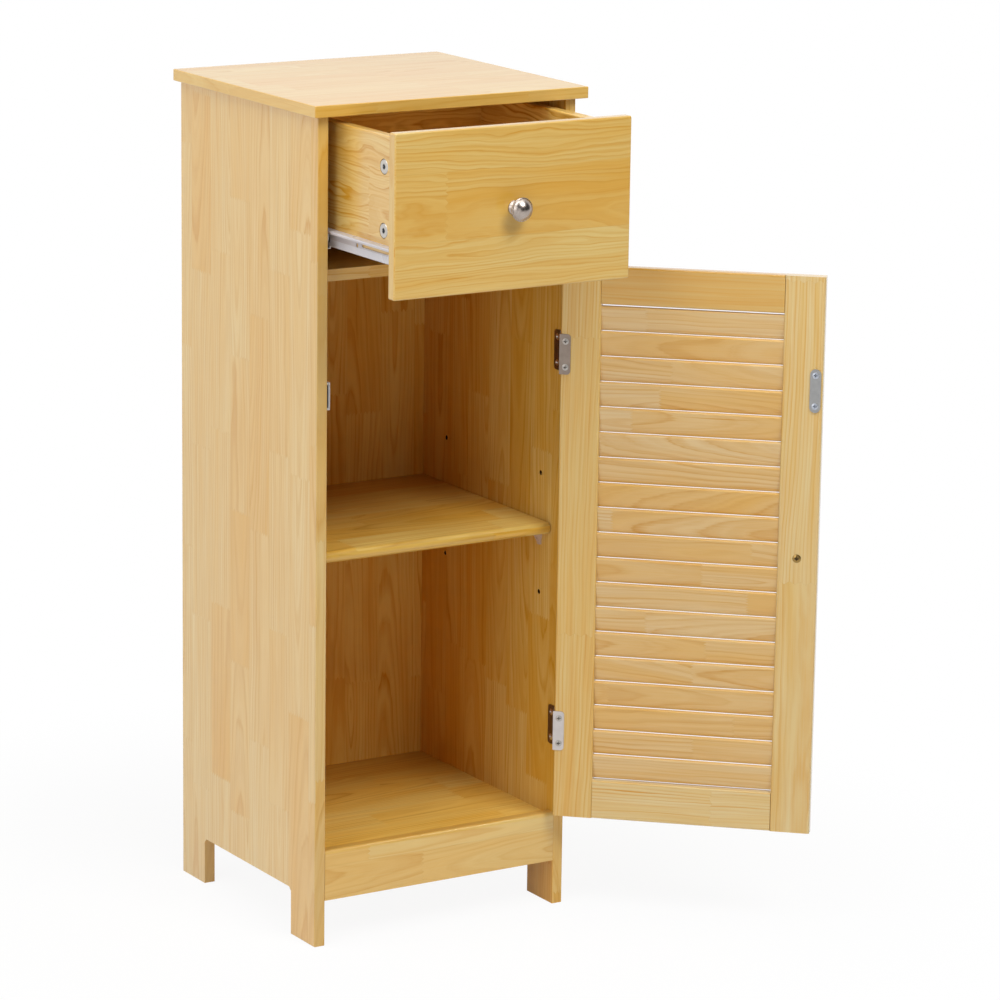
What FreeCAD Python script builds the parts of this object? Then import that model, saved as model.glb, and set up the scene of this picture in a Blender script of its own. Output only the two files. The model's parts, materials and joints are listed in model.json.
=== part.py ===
import FreeCAD, Part
import math
import os

# Column cabinet of laminated boards: a drawer on roller runners above a louvred door.
# Sizes are in millimetres. X runs to the right, Y to the back and Z up.
# The origin is on the floor under the middle of the top.
# Every piece is first made with the drawer and the door shut, then both are opened.

# Carcass
cabinet_height = 870.0
side_span = 300.0  # across the outer faces of the side panels
side_depth = 290.0
board = 12.0  # thickness of every solid board
top_side_overhang = 9.0
top_front_overhang = 10.0
board_edge_round = 1.0
door_edge_round = 1.8
front_edge_round = 2.0
drawer_edge_round = 2.0
plinth_edge_round = 4.0

# Feet, plinth and back
foot_depth = 50.0
foot_height = 50.0
foot_corner = 4.0  # small chamfer where a foot meets the cut-out
plinth_lift = 48.0
plinth_height = 53.0
plinth_lip = 4.0  # plinth above the bottom panel
back_thickness = 3.0
back_recess = 11.0
groove_depth = 5.0
groove_clearance = 0.2

# Fronts
drawer_front_height = 163.5
drawer_top_gap = 1.0  # under the top
front_gap = 2.0
middle_gap = 3.5  # between the drawer front and the door
divider_lap = 8.0  # divider above the drawer front's lower edge
divider_set_back = 2.0
drawer_out = 126.0
door_open = 137.1

# Shelf and its pins
shelf_row_height = 3.75  # middle row of pins above the middle of the cupboard
shelf_row_pitch = 64.0
shelf_row_count = 3
shelf_front_set_back = 14.0
shelf_nose_flat = 0.4  # flat strip left on the shelf's rounded front
shelf_clearance = 1.0
pin_front_inset = 36.0
pin_back_inset = 63.0
pin_radius = 2.5
pin_length = 16.0
pin_hole_room = 1.0  # past the end of a pin
pin_rest_reach = 9.0  # from the wall, under the shelf
pin_rest_width = 12.0
pin_rest_thickness = 2.0
pin_rib = 7.0
pin_drop = 15.0  # from the shelf to the lowest point of a pin
pin_tip_width = 4.0

# Fasteners
wood_screw_radius = 1.5
wood_screw_head_radius = 3.0
fitting_screw_head_radius = 3.4  # hinges, strike plate and catch
fitting_screw_rise = 0.6  # dome of a hinge's or the strike plate's screw
screw_cover = 2.0  # wood left past a screw's tip
long_screw_length = 40.0
long_screw_radius = 2.0
long_screw_head_radius = 4.0
cross_width = 1.0
cross_depth = 1.8
screw_cross_share = 0.6  # of the head's radius
cam_cross_share = 0.4
fit_clearance = 0.05
dowel_radius = 3.0
dowel_length = 26.0
dowel_cover = 4.0
hole_end_room = 0.5
cam_radius = 7.5
cam_cover = 2.0
cam_chamfer = 0.6
cam_reach = 27.0  # from the end of a board to the middle of its cam disc
cam_clearance = 0.3
bolt_radius = 2.0
bolt_head_radius = 3.2
bolt_head_length = 4.0
bolt_thread_radius = 2.5
bolt_cover = 3.0
bolt_bore_radius = 3.5
joint_front_inset = 46.0
joint_back_inset = 56.0
plinth_dowel_share = 0.25  # of the plinth's height, from its middle
nail_radius = 0.8
nail_length = 18.0
nail_head_radius = 2.2
nail_head_height = 0.8
nail_spacing = 95.0

# Drawer box
drawer_back_space = 14.0  # free space behind the shut drawer
drawer_side_lift = 31.5
drawer_side_drop = 7.0
drawer_bottom_lift = 13.0
drawer_bottom_thickness = 3.0
drawer_cam_inset = 31.0
drawer_back_screw_inset = 32.0

# Roller runners
runner_space = 12.5  # between the cabinet wall and the drawer side
sheet = 1.0  # thickness of the folded steel
runner_height = 17.5
runner_lip = 2.0
runner_lip_gap = 0.6  # between the lip and the roller
runner_foot = 10.0
runner_bend = 1.5  # outer round of the folds
runner_set_back = 0.5
runner_hole_radius = 2.2
runner_hole_place = 76.0
runner_hole_rise = 9.0
runner_slot_start = 14.0
runner_slot_end = 67.0
runner_slot_width = 4.0
runner_slot_rise = 10.5
runner_screw_shares = (0.03, 0.53, 0.84)  # of the runner's length
runner_screw_rise = 6.0
rail_set_back = 1.5
rail_screw_shares = (0.1, 0.52, 0.82)  # of the rail's length
rail_lip = 2.0
rail_lip_gap = 0.7
roller_radius = 7.0
roller_width = 4.4
roller_end_room = 1.0  # between a roller and the end of its strip
roller_clearance = 0.3
roller_edge_round = 0.8
axle_radius = 2.0
axle_shoulder_radius = 3.2
axle_head_length = 0.8
axle_play = 0.2
stop_spacing = 34.0  # from the rail's roller to the tab that stops the drawer
stop_height = 5.0

# Louvred door
stile_width = 41.5
top_rail_height = 39.2
bottom_rail_height = 41.2
slat_count = 19
slat_thickness = 5.0
slat_edge_round = 1.4
slat_set_in = 0.7
slat_lap = 0.5  # of each slat over the next one
slat_low_gap = 1.3  # over the bottom rail
slat_top_gap = 1.3  # under the top rail
slat_housing = 6.0
slat_clearance = 0.15
door_dowel_spread = 20.0

# Hinges
hinge_inset = 93.0
hinge_gap = 3.0
hinge_height = 42.0
leaf = 1.0
barrel_radius = 2.5
hinge_pin_radius = 1.2
hinge_pin_head_radius = 1.9
hinge_pin_head_height = 0.8
knuckle_gap = 0.2
knuckle_room = 0.3
frame_leaf_depth = 12.5
door_leaf_width = 10.6
leaf_corner = 3.5
hinge_screw_spacing = 27.0
door_leaf_screw_inset = 5.3

# Magnetic catch and strike plate
strike_drop = 117.3
strike_inset = 7.5
strike_width = 11.2
strike_height = 45.0
strike_thickness = 1.2
strike_screw_spacing = 32.0
catch_width = 11.5
catch_depth = 15.0
catch_height = 28.0
catch_flange = 2.5
catch_flange_depth = 10.0
catch_flange_reach = 9.0
catch_gap = 0.3
pole_thickness = 1.2
pole_proud = 0.6
catch_wall = 2.4  # above and below the pole plates
pole_depth = 10.0
magnet_width = 5.0
catch_clearance = 0.1

# Knobs
knob_height = 22.0
knob_head_radius = 12.0
knob_rim = 2.2
knob_step = 1.6
knob_dome = 6.2
knob_neck_radius = 5.2
knob_base_radius = 7.5
knob_base_height = 1.4
knob_thread = 9.0
knob_screw_radius = 2.0
knob_screw_head_radius = 4.5
knob_screw_rise = 1.2
door_knob_inset = 21.5

# Places that follow from the sizes above
top_depth = side_depth + top_front_overhang
front_y = top_front_overhang - top_depth / 2
back_y = top_depth / 2
fronts_back = front_y + board
outer_x = side_span / 2
wall_x = outer_x - board
under_top = cabinet_height - board
back_face = back_y - back_recess - back_thickness
plinth_top = plinth_lift + plinth_height
bottom_top = plinth_top - plinth_lip
bottom_low = bottom_top - board
drawer_top = under_top - drawer_top_gap
drawer_low = drawer_top - drawer_front_height
door_top = drawer_low - middle_gap
door_low = plinth_top + front_gap
divider_top = drawer_low + divider_lap
divider_low = divider_top - board
shelf_row_z = (bottom_top + divider_low) / 2 + shelf_row_height
shelf_low = shelf_row_z + pin_radius
shelf_nose_round = (board - shelf_nose_flat) / 2
shelf_row = shelf_row_count // 2
joint_places = (front_y + joint_front_inset, back_y - joint_back_inset)
joint_middle = sum(joint_places) / 2
pin_columns = (front_y + pin_front_inset, back_y - pin_back_inset)
wood_screw_length = board - screw_cover

drawer_outer = wall_x - runner_space
drawer_inner = drawer_outer - board
drawer_end = back_face - drawer_back_space
drawer_side_low = drawer_low + drawer_side_lift
drawer_side_top = drawer_top - drawer_side_drop
drawer_floor = drawer_side_low + drawer_bottom_lift

hinge_x = wall_x - hinge_gap / 2
hinge_y = front_y - barrel_radius
hinge_edge = wall_x - hinge_gap
free_edge = front_gap - wall_x
stile_inner_right = hinge_edge - stile_width
stile_inner_left = free_edge + stile_width
hinge_heights = {"lower": door_low + hinge_inset, "upper": door_top - hinge_inset}
strike_z = door_top - strike_drop
strike_x = free_edge + strike_inset
pole_height = catch_height - 2 * catch_wall

RIGHT = FreeCAD.Vector(1, 0, 0)
LEFT = FreeCAD.Vector(-1, 0, 0)
BACK = FreeCAD.Vector(0, 1, 0)
FRONT = FreeCAD.Vector(0, -1, 0)
UP = FreeCAD.Vector(0, 0, 1)
DOWN = FreeCAD.Vector(0, 0, -1)
SIDES = {"left": -1, "right": 1}

carcass = {}
drawer = {}
door = {}
holes = {}


def vec(x, y, z):
    """Point or direction."""
    return FreeCAD.Vector(x, y, z)


def add(group, node, *solids):
    """Puts solids into a node of the carcass, the drawer or the door."""
    group.setdefault(node, []).extend(solids)


def drill(node, *tools):
    """Notes what is cut out of a node once every piece is known."""
    holes.setdefault(node, []).extend(tools)


def block(x, y, z):
    """Box between two limits along each axis."""
    return Part.makeBox(x[1] - x[0], y[1] - y[0], z[1] - z[0], vec(x[0], y[0], z[0]))


def rod(start, direction, length, radius):
    """Round bar from a point along a direction."""
    return Part.makeCylinder(radius, length, start, direction)


def prism(corners, push):
    """Solid from a flat outline pushed along a vector."""
    return Part.Face(Part.makePolygon(corners + corners[:1])).extrude(push)


def placed(shape, point, x_axis, z_axis):
    """Shape moved from the origin to a point, with its X and Z turned to the given axes."""
    turn = FreeCAD.Rotation(x_axis, z_axis.cross(x_axis), z_axis, "ZXY")
    shape.Placement = FreeCAD.Placement(point, turn)
    return shape


def any_square(direction):
    """A direction square to the given one."""
    return RIGHT if abs(direction.x) < 0.5 else UP


def mirrored(shape, side):
    """A shape drawn for the left side, or its mirror image for the right one."""
    return shape if side == "left" else shape.mirror(vec(0, 0, 0), RIGHT)


def rounded(shape, radius, wanted=lambda edge: True):
    """Shape with the wanted straight edges rounded."""
    edges = [edge for edge in shape.Edges if wanted(edge)]
    return shape.makeFillet(radius, edges)


def runs_along(axis):
    """Test for edges that run along an axis."""
    def test(edge):
        ends = edge.Vertexes
        run = ends[-1].Point - ends[0].Point
        return abs(run.dot(axis)) > 0.999 * run.Length
    return test


def cross_recess(size, rise=0):
    """Tapered cross for a driver, from a plane that is rise below the XY plane up to its depth."""
    half = cross_width / 2
    corners = [vec(-size, -half, -rise), vec(size, -half, -rise),
               vec(half, -half, cross_depth), vec(-half, -half, cross_depth)]
    bar = prism(corners, BACK * cross_width)
    other = bar.copy()
    other.rotate(vec(0, 0, 0), UP, 90)
    return bar.fuse(other)


def screw(seat, direction, length, radius, head_radius, rise=0):
    """Countersunk screw with its head at the seat, flush or with a dome that stands proud."""
    head_height = head_radius - radius
    head = Part.makeCone(head_radius, radius, head_height, vec(0, 0, 0), UP)
    parts = [rod(vec(0, 0, 0), UP, length - radius, radius),
             Part.makeCone(radius, radius / 4, radius, vec(0, 0, length - radius), UP)]
    if rise:
        ball_radius = (head_radius ** 2 + rise ** 2) / (2 * rise)
        ball = Part.makeSphere(ball_radius, vec(0, 0, ball_radius - rise))
        parts.append(ball.common(rod(vec(0, 0, -rise), UP, rise, ball_radius)))
    body = head.fuse(parts).removeSplitter()
    body = body.cut(cross_recess(head_radius * screw_cross_share, rise))
    return placed(body, seat, any_square(direction), direction)


def screw_hole(seat, direction, length, radius, head_radius):
    """Countersunk hole for such a screw."""
    wide = head_radius + fit_clearance
    narrow = radius + fit_clearance
    sink = Part.makeCone(wide, narrow, wide - narrow, vec(0, 0, 0), UP)
    bore = rod(vec(0, 0, 0), UP, length + hole_end_room, narrow)
    return placed(sink.fuse(bore), seat, any_square(direction), direction)


def add_screw(group, node, boards, seat, direction, size, rise=0):
    """Screw in a node, with its hole in each of the boards it passes through."""
    add(group, node, screw(seat, direction, *size, rise))
    drill_all(boards, screw_hole(seat, direction, *size))


def drill_all(boards, tool):
    """The same hole in several boards."""
    for node in boards:
        drill(node, tool)


def add_dowel(group, node, boards, seam, direction, near_depth):
    """Dowel across a seam, near_depth of it before the seam and the rest along direction."""
    start = seam - direction * near_depth
    add(group, node, rod(start, direction, dowel_length, dowel_radius))
    room = rod(start - direction * hole_end_room, direction,
               dowel_length + 2 * hole_end_room, dowel_radius + fit_clearance)
    drill_all(boards, room)


def cam_disc(depth):
    """Cam disc with its face at half a board above the bolt's axis, open towards +X."""
    face = board / 2
    disc = rod(vec(0, 0, face - depth), UP, depth, cam_radius)
    rim = [edge for edge in disc.Edges if edge.BoundBox.ZMin > face - cam_chamfer]
    disc = disc.makeChamfer(cam_chamfer, rim)
    head_room = bolt_head_radius + cam_clearance
    head_half = bolt_head_length / 2 + cam_clearance
    shank_room = bolt_radius + cam_clearance
    pocket = block((-head_half, head_half), (-head_room, head_room), (-board, head_room))
    slot = block((0, 2 * cam_radius), (-shank_room, shank_room), (-board, shank_room))
    recess = cross_recess(cam_radius * cam_cross_share)
    recess = recess.mirror(vec(0, 0, 0), UP)
    recess.translate(vec(0, 0, face))
    return disc.cut([pocket, slot, recess])


def cam_bolt():
    """Bolt along +X with its head in the cam and its thread in the next board."""
    head = rod(vec(-bolt_head_length / 2, 0, 0), RIGHT, bolt_head_length, bolt_head_radius)
    shank = rod(vec(0, 0, 0), RIGHT, cam_reach, bolt_radius)
    thread = rod(vec(cam_reach, 0, 0), RIGHT, board - bolt_cover, bolt_thread_radius)
    return head.fuse([shank, thread])


def add_cam(group, nodes, boards, middle, face, pull):
    """Cam and bolt: nodes for the disc and bolt, the disc's board and the bolt's board."""
    depth = board - cam_cover
    disc_node, bolt_node = nodes
    disc_board, bolt_board = boards
    add(group, disc_node, placed(cam_disc(depth - cam_clearance), middle, pull, face))
    add(group, bolt_node, placed(cam_bolt(), middle, pull, face))
    pocket = rod(vec(0, 0, board / 2 - depth), UP, depth, cam_radius + cam_clearance)
    bore = rod(vec(0, 0, 0), RIGHT, cam_reach, bolt_bore_radius)
    drill(disc_board, placed(pocket.fuse(bore), middle, pull, face))
    thread = rod(vec(cam_reach, 0, 0), RIGHT, board - bolt_cover + hole_end_room,
                 bolt_thread_radius + fit_clearance)
    drill(bolt_board, placed(thread, middle, pull, face))


def side_panel(side):
    """Side panel with a cut-out that leaves a front foot and a back foot."""
    near = front_y + foot_depth
    far = back_y - foot_depth
    outline = [
        (front_y, 0), (near, 0), (near, foot_height - foot_corner), (near + foot_corner, foot_height),
        (far - foot_corner, foot_height), (far, foot_height - foot_corner), (far, 0), (back_y, 0),
        (back_y, under_top), (front_y, under_top),
    ]
    panel = prism([vec(-outer_x, y, z) for y, z in outline], RIGHT * board)
    upright = runs_along(UP)
    panel = rounded(panel, board_edge_round, lambda edge: upright(edge) and edge.Length > foot_height)
    groove = block((-wall_x - groove_depth, -wall_x),
                   (back_face - groove_clearance, back_face + back_thickness + groove_clearance),
                   (bottom_low - groove_clearance, under_top))
    return mirrored(panel.cut(groove), side)


def make_boards():
    """Top, sides, bottom, divider, plinth, back and shelf."""
    top = block((-outer_x - top_side_overhang, outer_x + top_side_overhang),
                (-top_depth / 2, back_y), (under_top, cabinet_height))
    add(carcass, "top_panel", rounded(top, board_edge_round))
    for side in SIDES:
        add(carcass, f"{side}_side_panel", side_panel(side))
    across = (-wall_x, wall_x)
    add(carcass, "bottom_panel", block(across, (fronts_back, back_face), (bottom_low, bottom_top)))
    divider_y = (fronts_back + divider_set_back, back_face)
    add(carcass, "divider_panel", block(across, divider_y, (divider_low, divider_top)))
    plinth = block(across, (front_y, fronts_back), (plinth_lift, plinth_top))
    sideways = runs_along(RIGHT)

    def upper_front(edge):
        """Test for the plinth's upper front edge."""
        middle = edge.CenterOfMass
        return sideways(edge) and middle.y < fronts_back and middle.z > bottom_top

    add(carcass, "plinth_board", rounded(plinth, plinth_edge_round, upper_front))
    reach = wall_x + groove_depth - groove_clearance
    add(carcass, "back_panel", block((-reach, reach), (back_face, back_face + back_thickness),
                                     (bottom_low, under_top - groove_clearance)))
    shelf_x = wall_x - shelf_clearance
    shelf_front = front_y + shelf_front_set_back
    shelf = block((-shelf_x, shelf_x), (shelf_front, back_face - shelf_clearance),
                  (shelf_low, shelf_low + board))
    front_edges = lambda edge: sideways(edge) and edge.CenterOfMass.y < shelf_front + board
    add(carcass, "adjustable_shelf", rounded(shelf, shelf_nose_round, front_edges))


def shelf_pin():
    """Pin along +X: a round peg for the wall, a flat rest, a tapered plate on the wall and a rib."""
    peg = rod(vec(0, 0, 0), RIGHT, pin_length / 2, pin_radius)
    half = pin_rest_width / 2
    tip = pin_tip_width / 2
    low = pin_radius - pin_drop
    rest = block((-pin_rest_reach, 0), (-half, half), (pin_radius - pin_rest_thickness, pin_radius))
    plate = prism([vec(0, -half, pin_radius), vec(0, half, pin_radius), vec(0, tip, low), vec(0, -tip, low)],
                  LEFT * pin_rest_thickness)
    rib = prism([vec(-pin_rest_reach, -pin_rib / 2, pin_radius), vec(0, -pin_rib / 2, pin_radius),
                 vec(0, -pin_rib / 2, low)], BACK * pin_rib)
    return peg.fuse([rest, plate, rib]).removeSplitter()


def make_shelf_pins():
    """Rows of pin holes in both walls, with pins in the shelf's row."""
    hole_depth = pin_length / 2 + pin_hole_room
    for side, sign in SIDES.items():
        outwards = vec(sign, 0, 0)
        for row in range(shelf_row_count):
            z = shelf_row_z + (row - shelf_row) * shelf_row_pitch
            for y in pin_columns:
                mouth = vec(sign * wall_x, y, z)
                drill(f"{side}_side_panel", rod(mouth, outwards, hole_depth, pin_radius + fit_clearance))
                if row == shelf_row:
                    add(carcass, "shelf_pins", placed(shelf_pin(), mouth, outwards, UP))


def make_carcass_joints():
    """Cams and dowels of the top, divider, bottom and plinth, and the nails of the back."""
    cams = ("carcass_cam_discs", "carcass_cam_bolts")
    face_depth = board - dowel_cover
    for side, sign in SIDES.items():
        panel = f"{side}_side_panel"
        outwards = vec(sign, 0, 0)
        middle_x = sign * (wall_x + board / 2)
        for y in joint_places:
            cam = vec(middle_x, y, under_top - cam_reach)
            add_cam(carcass, cams, (panel, "top_panel"), cam, -outwards, UP)
        add_dowel(carcass, "carcass_dowels", (panel, "top_panel"), vec(middle_x, joint_middle, under_top),
                  DOWN, face_depth)
        for node, low in (("bottom_panel", bottom_low), ("divider_panel", divider_low)):
            z = low + board / 2
            for y in joint_places:
                add_cam(carcass, cams, (node, panel), vec(sign * (wall_x - cam_reach), y, z), DOWN, outwards)
            add_dowel(carcass, "carcass_dowels", (node, panel), vec(sign * wall_x, joint_middle, z),
                      -outwards, face_depth)
        for share in (-plinth_dowel_share, plinth_dowel_share):
            z = plinth_lift + plinth_height * (0.5 + share)
            add_dowel(carcass, "carcass_dowels", ("plinth_board", panel),
                      vec(sign * wall_x, front_y + board / 2, z), -outwards, face_depth)
    for low, node in ((bottom_low, "bottom_panel"), (divider_low, "divider_panel")):
        for step in (-1, 0, 1):
            seat = vec(step * nail_spacing, back_face + back_thickness, low + board / 2)
            head = rod(seat, BACK, nail_head_height, nail_head_radius)
            add(carcass, "back_panel_nails", rod(seat, FRONT, nail_length, nail_radius).fuse(head))
            drill_all(("back_panel", node), rod(seat, FRONT, nail_length + hole_end_room,
                                                nail_radius + fit_clearance))


def knob(seat, direction):
    """Mushroom knob turned about its own axis, with a threaded hole in its base."""
    rim_top = knob_height - knob_dome
    rim_low = rim_top - knob_rim
    cap_radius = knob_head_radius - knob_step
    dome_radius = (cap_radius ** 2 + knob_dome ** 2) / (2 * knob_dome)
    half_turn = math.asin(cap_radius / dome_radius) / 2
    on_dome = vec(dome_radius * math.sin(half_turn), 0,
                  knob_height - dome_radius * (1 - math.cos(half_turn)))
    base = vec(knob_base_radius, 0, knob_base_height)
    flare = vec(cap_radius, 0, rim_low - knob_step)
    neck = vec(knob_neck_radius, 0, (knob_base_height + rim_low) / 2)
    cap = vec(cap_radius, 0, rim_top)
    line = Part.LineSegment
    outline = [
        line(vec(0, 0, 0), vec(knob_base_radius, 0, 0)),
        line(vec(knob_base_radius, 0, 0), base),
        Part.Arc(base, neck, flare),
        line(flare, vec(knob_head_radius, 0, rim_low)),
        line(vec(knob_head_radius, 0, rim_low), vec(knob_head_radius, 0, rim_top - knob_step / 2)),
        line(vec(knob_head_radius, 0, rim_top - knob_step / 2), cap),
        Part.Arc(cap, on_dome, vec(0, 0, knob_height)),
        line(vec(0, 0, knob_height), vec(0, 0, 0)),
    ]
    face = Part.Face(Part.Wire([curve.toShape() for curve in outline]))
    turned = face.revolve(vec(0, 0, 0), UP, 360)
    thread = rod(vec(0, 0, 0), UP, knob_thread + hole_end_room, knob_screw_radius + fit_clearance)
    return placed(turned.cut(thread), seat, any_square(direction), direction)


def add_knob(group, name, boards, seat):
    """Knob on a front, with the screw that holds it from behind."""
    add(group, name, knob(seat, FRONT))
    size = (board + knob_thread, knob_screw_radius, knob_screw_head_radius)
    add_screw(group, f"{name}_screw", boards, seat + BACK * board, FRONT, size, knob_screw_rise)


def make_drawer_box():
    """Drawer front, sides, back and bottom with their joints."""
    front_x = wall_x - front_gap
    front = block((-front_x, front_x), (front_y, fronts_back), (drawer_low, drawer_top))
    add(drawer, "drawer_front", rounded(front, front_edge_round))
    heights = (drawer_side_low, drawer_side_top)
    back_y_limits = (drawer_end - board, drawer_end)
    add(drawer, "drawer_back", block((-drawer_inner, drawer_inner), back_y_limits, heights))
    groove_x = drawer_inner + groove_depth
    groove_y = (fronts_back - groove_depth, drawer_end - board + groove_depth)
    groove_z = (drawer_floor - groove_clearance, drawer_floor + drawer_bottom_thickness + groove_clearance)
    groove = block((-groove_x, groove_x), groove_y, groove_z)
    panel_y = (groove_y[0] + groove_clearance, groove_y[1] - groove_clearance)
    panel_x = groove_x - groove_clearance
    add(drawer, "drawer_bottom", block((-panel_x, panel_x), panel_y,
                                       (drawer_floor, drawer_floor + drawer_bottom_thickness)))
    drill_all(("drawer_front", "drawer_back"), groove)
    long_screw = (long_screw_length, long_screw_radius, long_screw_head_radius)
    lengthways = runs_along(BACK)
    for side, sign in SIDES.items():
        node = f"drawer_{side}_side"
        outwards = vec(sign, 0, 0)
        edges = sorted((sign * drawer_inner, sign * drawer_outer))
        panel = block(edges, (fronts_back, drawer_end), heights)
        upper = lambda edge: lengthways(edge) and edge.CenterOfMass.z > drawer_side_low + board
        add(drawer, node, rounded(panel, drawer_edge_round, upper))
        drill(node, groove)
        middle_x = sign * (drawer_inner + board / 2)
        for z in (drawer_side_low + drawer_cam_inset, drawer_side_top - drawer_cam_inset):
            add_cam(drawer, ("drawer_cam_discs", "drawer_cam_bolts"), (node, "drawer_front"),
                    vec(middle_x, fronts_back + cam_reach, z), outwards, FRONT)
        for z in (drawer_side_low + drawer_back_screw_inset, drawer_side_top - drawer_back_screw_inset):
            seat = vec(sign * drawer_outer, drawer_end - board / 2, z)
            add_screw(drawer, "drawer_back_screws", (node, "drawer_back"), seat, -outwards, long_screw)
    add_knob(drawer, "drawer_knob", ["drawer_front"], vec(0, front_y, (drawer_low + drawer_top) / 2))


def lane(near, far):
    """Limits along X of a strip beside the left wall, from its distances to that wall."""
    return (near - wall_x, far - wall_x)


def make_runners():
    """Steel runners on the drawer, rails on the walls, rollers and axles between them."""
    web = runner_space - sheet
    rail_edge = web - rail_lip_gap
    roller_far = rail_edge - sheet - roller_clearance
    roller_near = roller_far - roller_width
    lip_inner = roller_near - runner_lip_gap
    lip_outer = lip_inner - sheet
    roller_inset = roller_radius + roller_end_room
    runner_top = drawer_side_low + runner_height
    runner_y = (fronts_back + runner_set_back, drawer_end + runner_set_back)
    rail_y = (fronts_back + rail_set_back, drawer_end + rail_set_back)
    rail_roller_y = rail_y[0] + roller_inset
    runner_roller_y = runner_y[1] - roller_inset
    rail_roller_z = runner_top - sheet - roller_clearance - roller_radius
    rail_high = runner_top - sheet - runner_lip - roller_clearance
    runner_roller_z = rail_high - sheet - roller_clearance - roller_radius
    rail_low = runner_roller_z - roller_radius - roller_clearance - sheet

    def runner():
        """Folded strip: foot under the drawer side, web, flange and lip."""
        low = drawer_side_low - sheet
        foot = block(lane(web, runner_space + runner_foot), runner_y, (low, drawer_side_low))
        upright = block(lane(web, runner_space), runner_y, (low, runner_top))
        flange = block(lane(lip_outer, web), runner_y, (runner_top - sheet, runner_top))
        lip = block(lane(lip_outer, lip_inner), runner_y, (runner_top - sheet - runner_lip, runner_top))
        start = vec(-wall_x, runner_y[0] + runner_hole_place, drawer_side_low + runner_hole_rise)
        hole = rod(start, RIGHT, 2 * runner_space, runner_hole_radius)
        slot_z = drawer_side_low + runner_slot_rise
        half = runner_slot_width / 2
        slot_y = (runner_y[0] + runner_slot_start + half, runner_y[0] + runner_slot_end - half)
        slot = block(lane(0, runner_space), slot_y, (slot_z - half, slot_z + half))
        ends = [rod(vec(-wall_x, y, slot_z), RIGHT, runner_space, half) for y in slot_y]
        strip = foot.fuse([upright, flange, lip]).removeSplitter()
        folds = ((web - wall_x, low), (lip_outer - wall_x, runner_top))
        lengthways = runs_along(BACK)

        def outer_fold(edge):
            """Test for the long outer edges at the folds."""
            middle = edge.CenterOfMass
            return lengthways(edge) and any(math.hypot(middle.x - x, middle.z - z) < sheet / 2
                                            for x, z in folds)

        return rounded(strip, runner_bend, outer_fold).cut([hole, slot] + ends)

    def rail():
        """Folded channel on the wall, open at the front roller, with tabs that stop the other roller."""
        upright = block(lane(0, sheet), rail_y, (rail_low, rail_high))
        floor = block(lane(0, rail_edge), rail_y, (rail_low, rail_low + sheet))
        lip = block(lane(rail_edge - sheet, rail_edge), rail_y, (rail_low, rail_low + sheet + rail_lip))
        stop_y = rail_roller_y + stop_spacing
        roof_y = (stop_y, rail_y[1])
        roof = block(lane(0, roller_far), roof_y, (rail_high - sheet, rail_high))
        tabs = []
        for y in (stop_y, rail_y[1] - sheet):
            tabs.append(block(lane(roller_near, roller_far), (y, y + sheet),
                              (rail_high - stop_height, rail_high)))
        return upright.fuse([floor, lip, roof] + tabs).removeSplitter()

    def roller(y, z):
        """Plastic roller with rounded edges and a bore."""
        wheel = rod(vec(roller_near - wall_x, y, z), RIGHT, roller_width, roller_radius)
        wheel = wheel.makeFillet(roller_edge_round, [e for e in wheel.Edges if len(e.Vertexes) == 1])
        return wheel.cut(rod(vec(-wall_x, y, z), RIGHT, runner_space, axle_radius + fit_clearance))

    def axle(y, z, root, shoulder, head):
        """Stepped axle between distances from the wall: rivet root, shoulder up to the roller, head."""
        low, high = sorted((root, head))
        core = rod(vec(low - wall_x, y, z), RIGHT, high - low, axle_radius)
        collars = []
        for near, far in (shoulder, sorted((head, head - math.copysign(axle_head_length, head - root)))):
            collars.append(rod(vec(near - wall_x, y, z), RIGHT, far - near, axle_shoulder_radius))
        return core.fuse(collars).removeSplitter()

    screw_size = (wood_screw_length, wood_screw_radius, wood_screw_head_radius)
    for side, sign in SIDES.items():
        outwards = vec(sign, 0, 0)
        rail_node = f"{side}_slide_rail"
        runner_node = f"{side}_drawer_runner"
        add(carcass, rail_node, mirrored(rail(), side))
        add(drawer, runner_node, mirrored(runner(), side))
        add(carcass, f"{side}_rail_roller", mirrored(roller(rail_roller_y, rail_roller_z), side))
        add(drawer, f"{side}_drawer_roller", mirrored(roller(runner_roller_y, runner_roller_z), side))
        rail_axle = axle(rail_roller_y, rail_roller_z, 0, (sheet, roller_near - axle_play),
                         roller_far + axle_play + axle_head_length)
        add(carcass, "rail_roller_axles", mirrored(rail_axle, side))
        runner_axle = axle(runner_roller_y, runner_roller_z, runner_space, (roller_far + axle_play, web),
                           roller_near - axle_play - axle_head_length)
        add(drawer, "drawer_roller_axles", mirrored(runner_axle, side))
        rivet = axle_radius + fit_clearance
        rail_rivet = vec(sign * wall_x, rail_roller_y, rail_roller_z)
        drill(rail_node, rod(rail_rivet, -outwards, sheet, rivet))
        runner_rivet = vec(sign * drawer_outer, runner_roller_y, runner_roller_z)
        drill(runner_node, rod(runner_rivet, outwards, sheet, rivet))
        for share in rail_screw_shares:
            y = rail_y[0] + share * (rail_y[1] - rail_y[0])
            seat = vec(sign * (wall_x - sheet), y, (rail_low + rail_high) / 2)
            add_screw(carcass, "slide_rail_screws", (rail_node, f"{side}_side_panel"), seat, outwards,
                      screw_size)
        for share in runner_screw_shares:
            y = runner_y[0] + share * (runner_y[1] - runner_y[0])
            seat = vec(sign * (drawer_outer + sheet), y, drawer_side_low + runner_screw_rise)
            add_screw(drawer, "drawer_runner_screws", (runner_node, f"drawer_{side}_side"), seat, -outwards,
                      screw_size)


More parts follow.
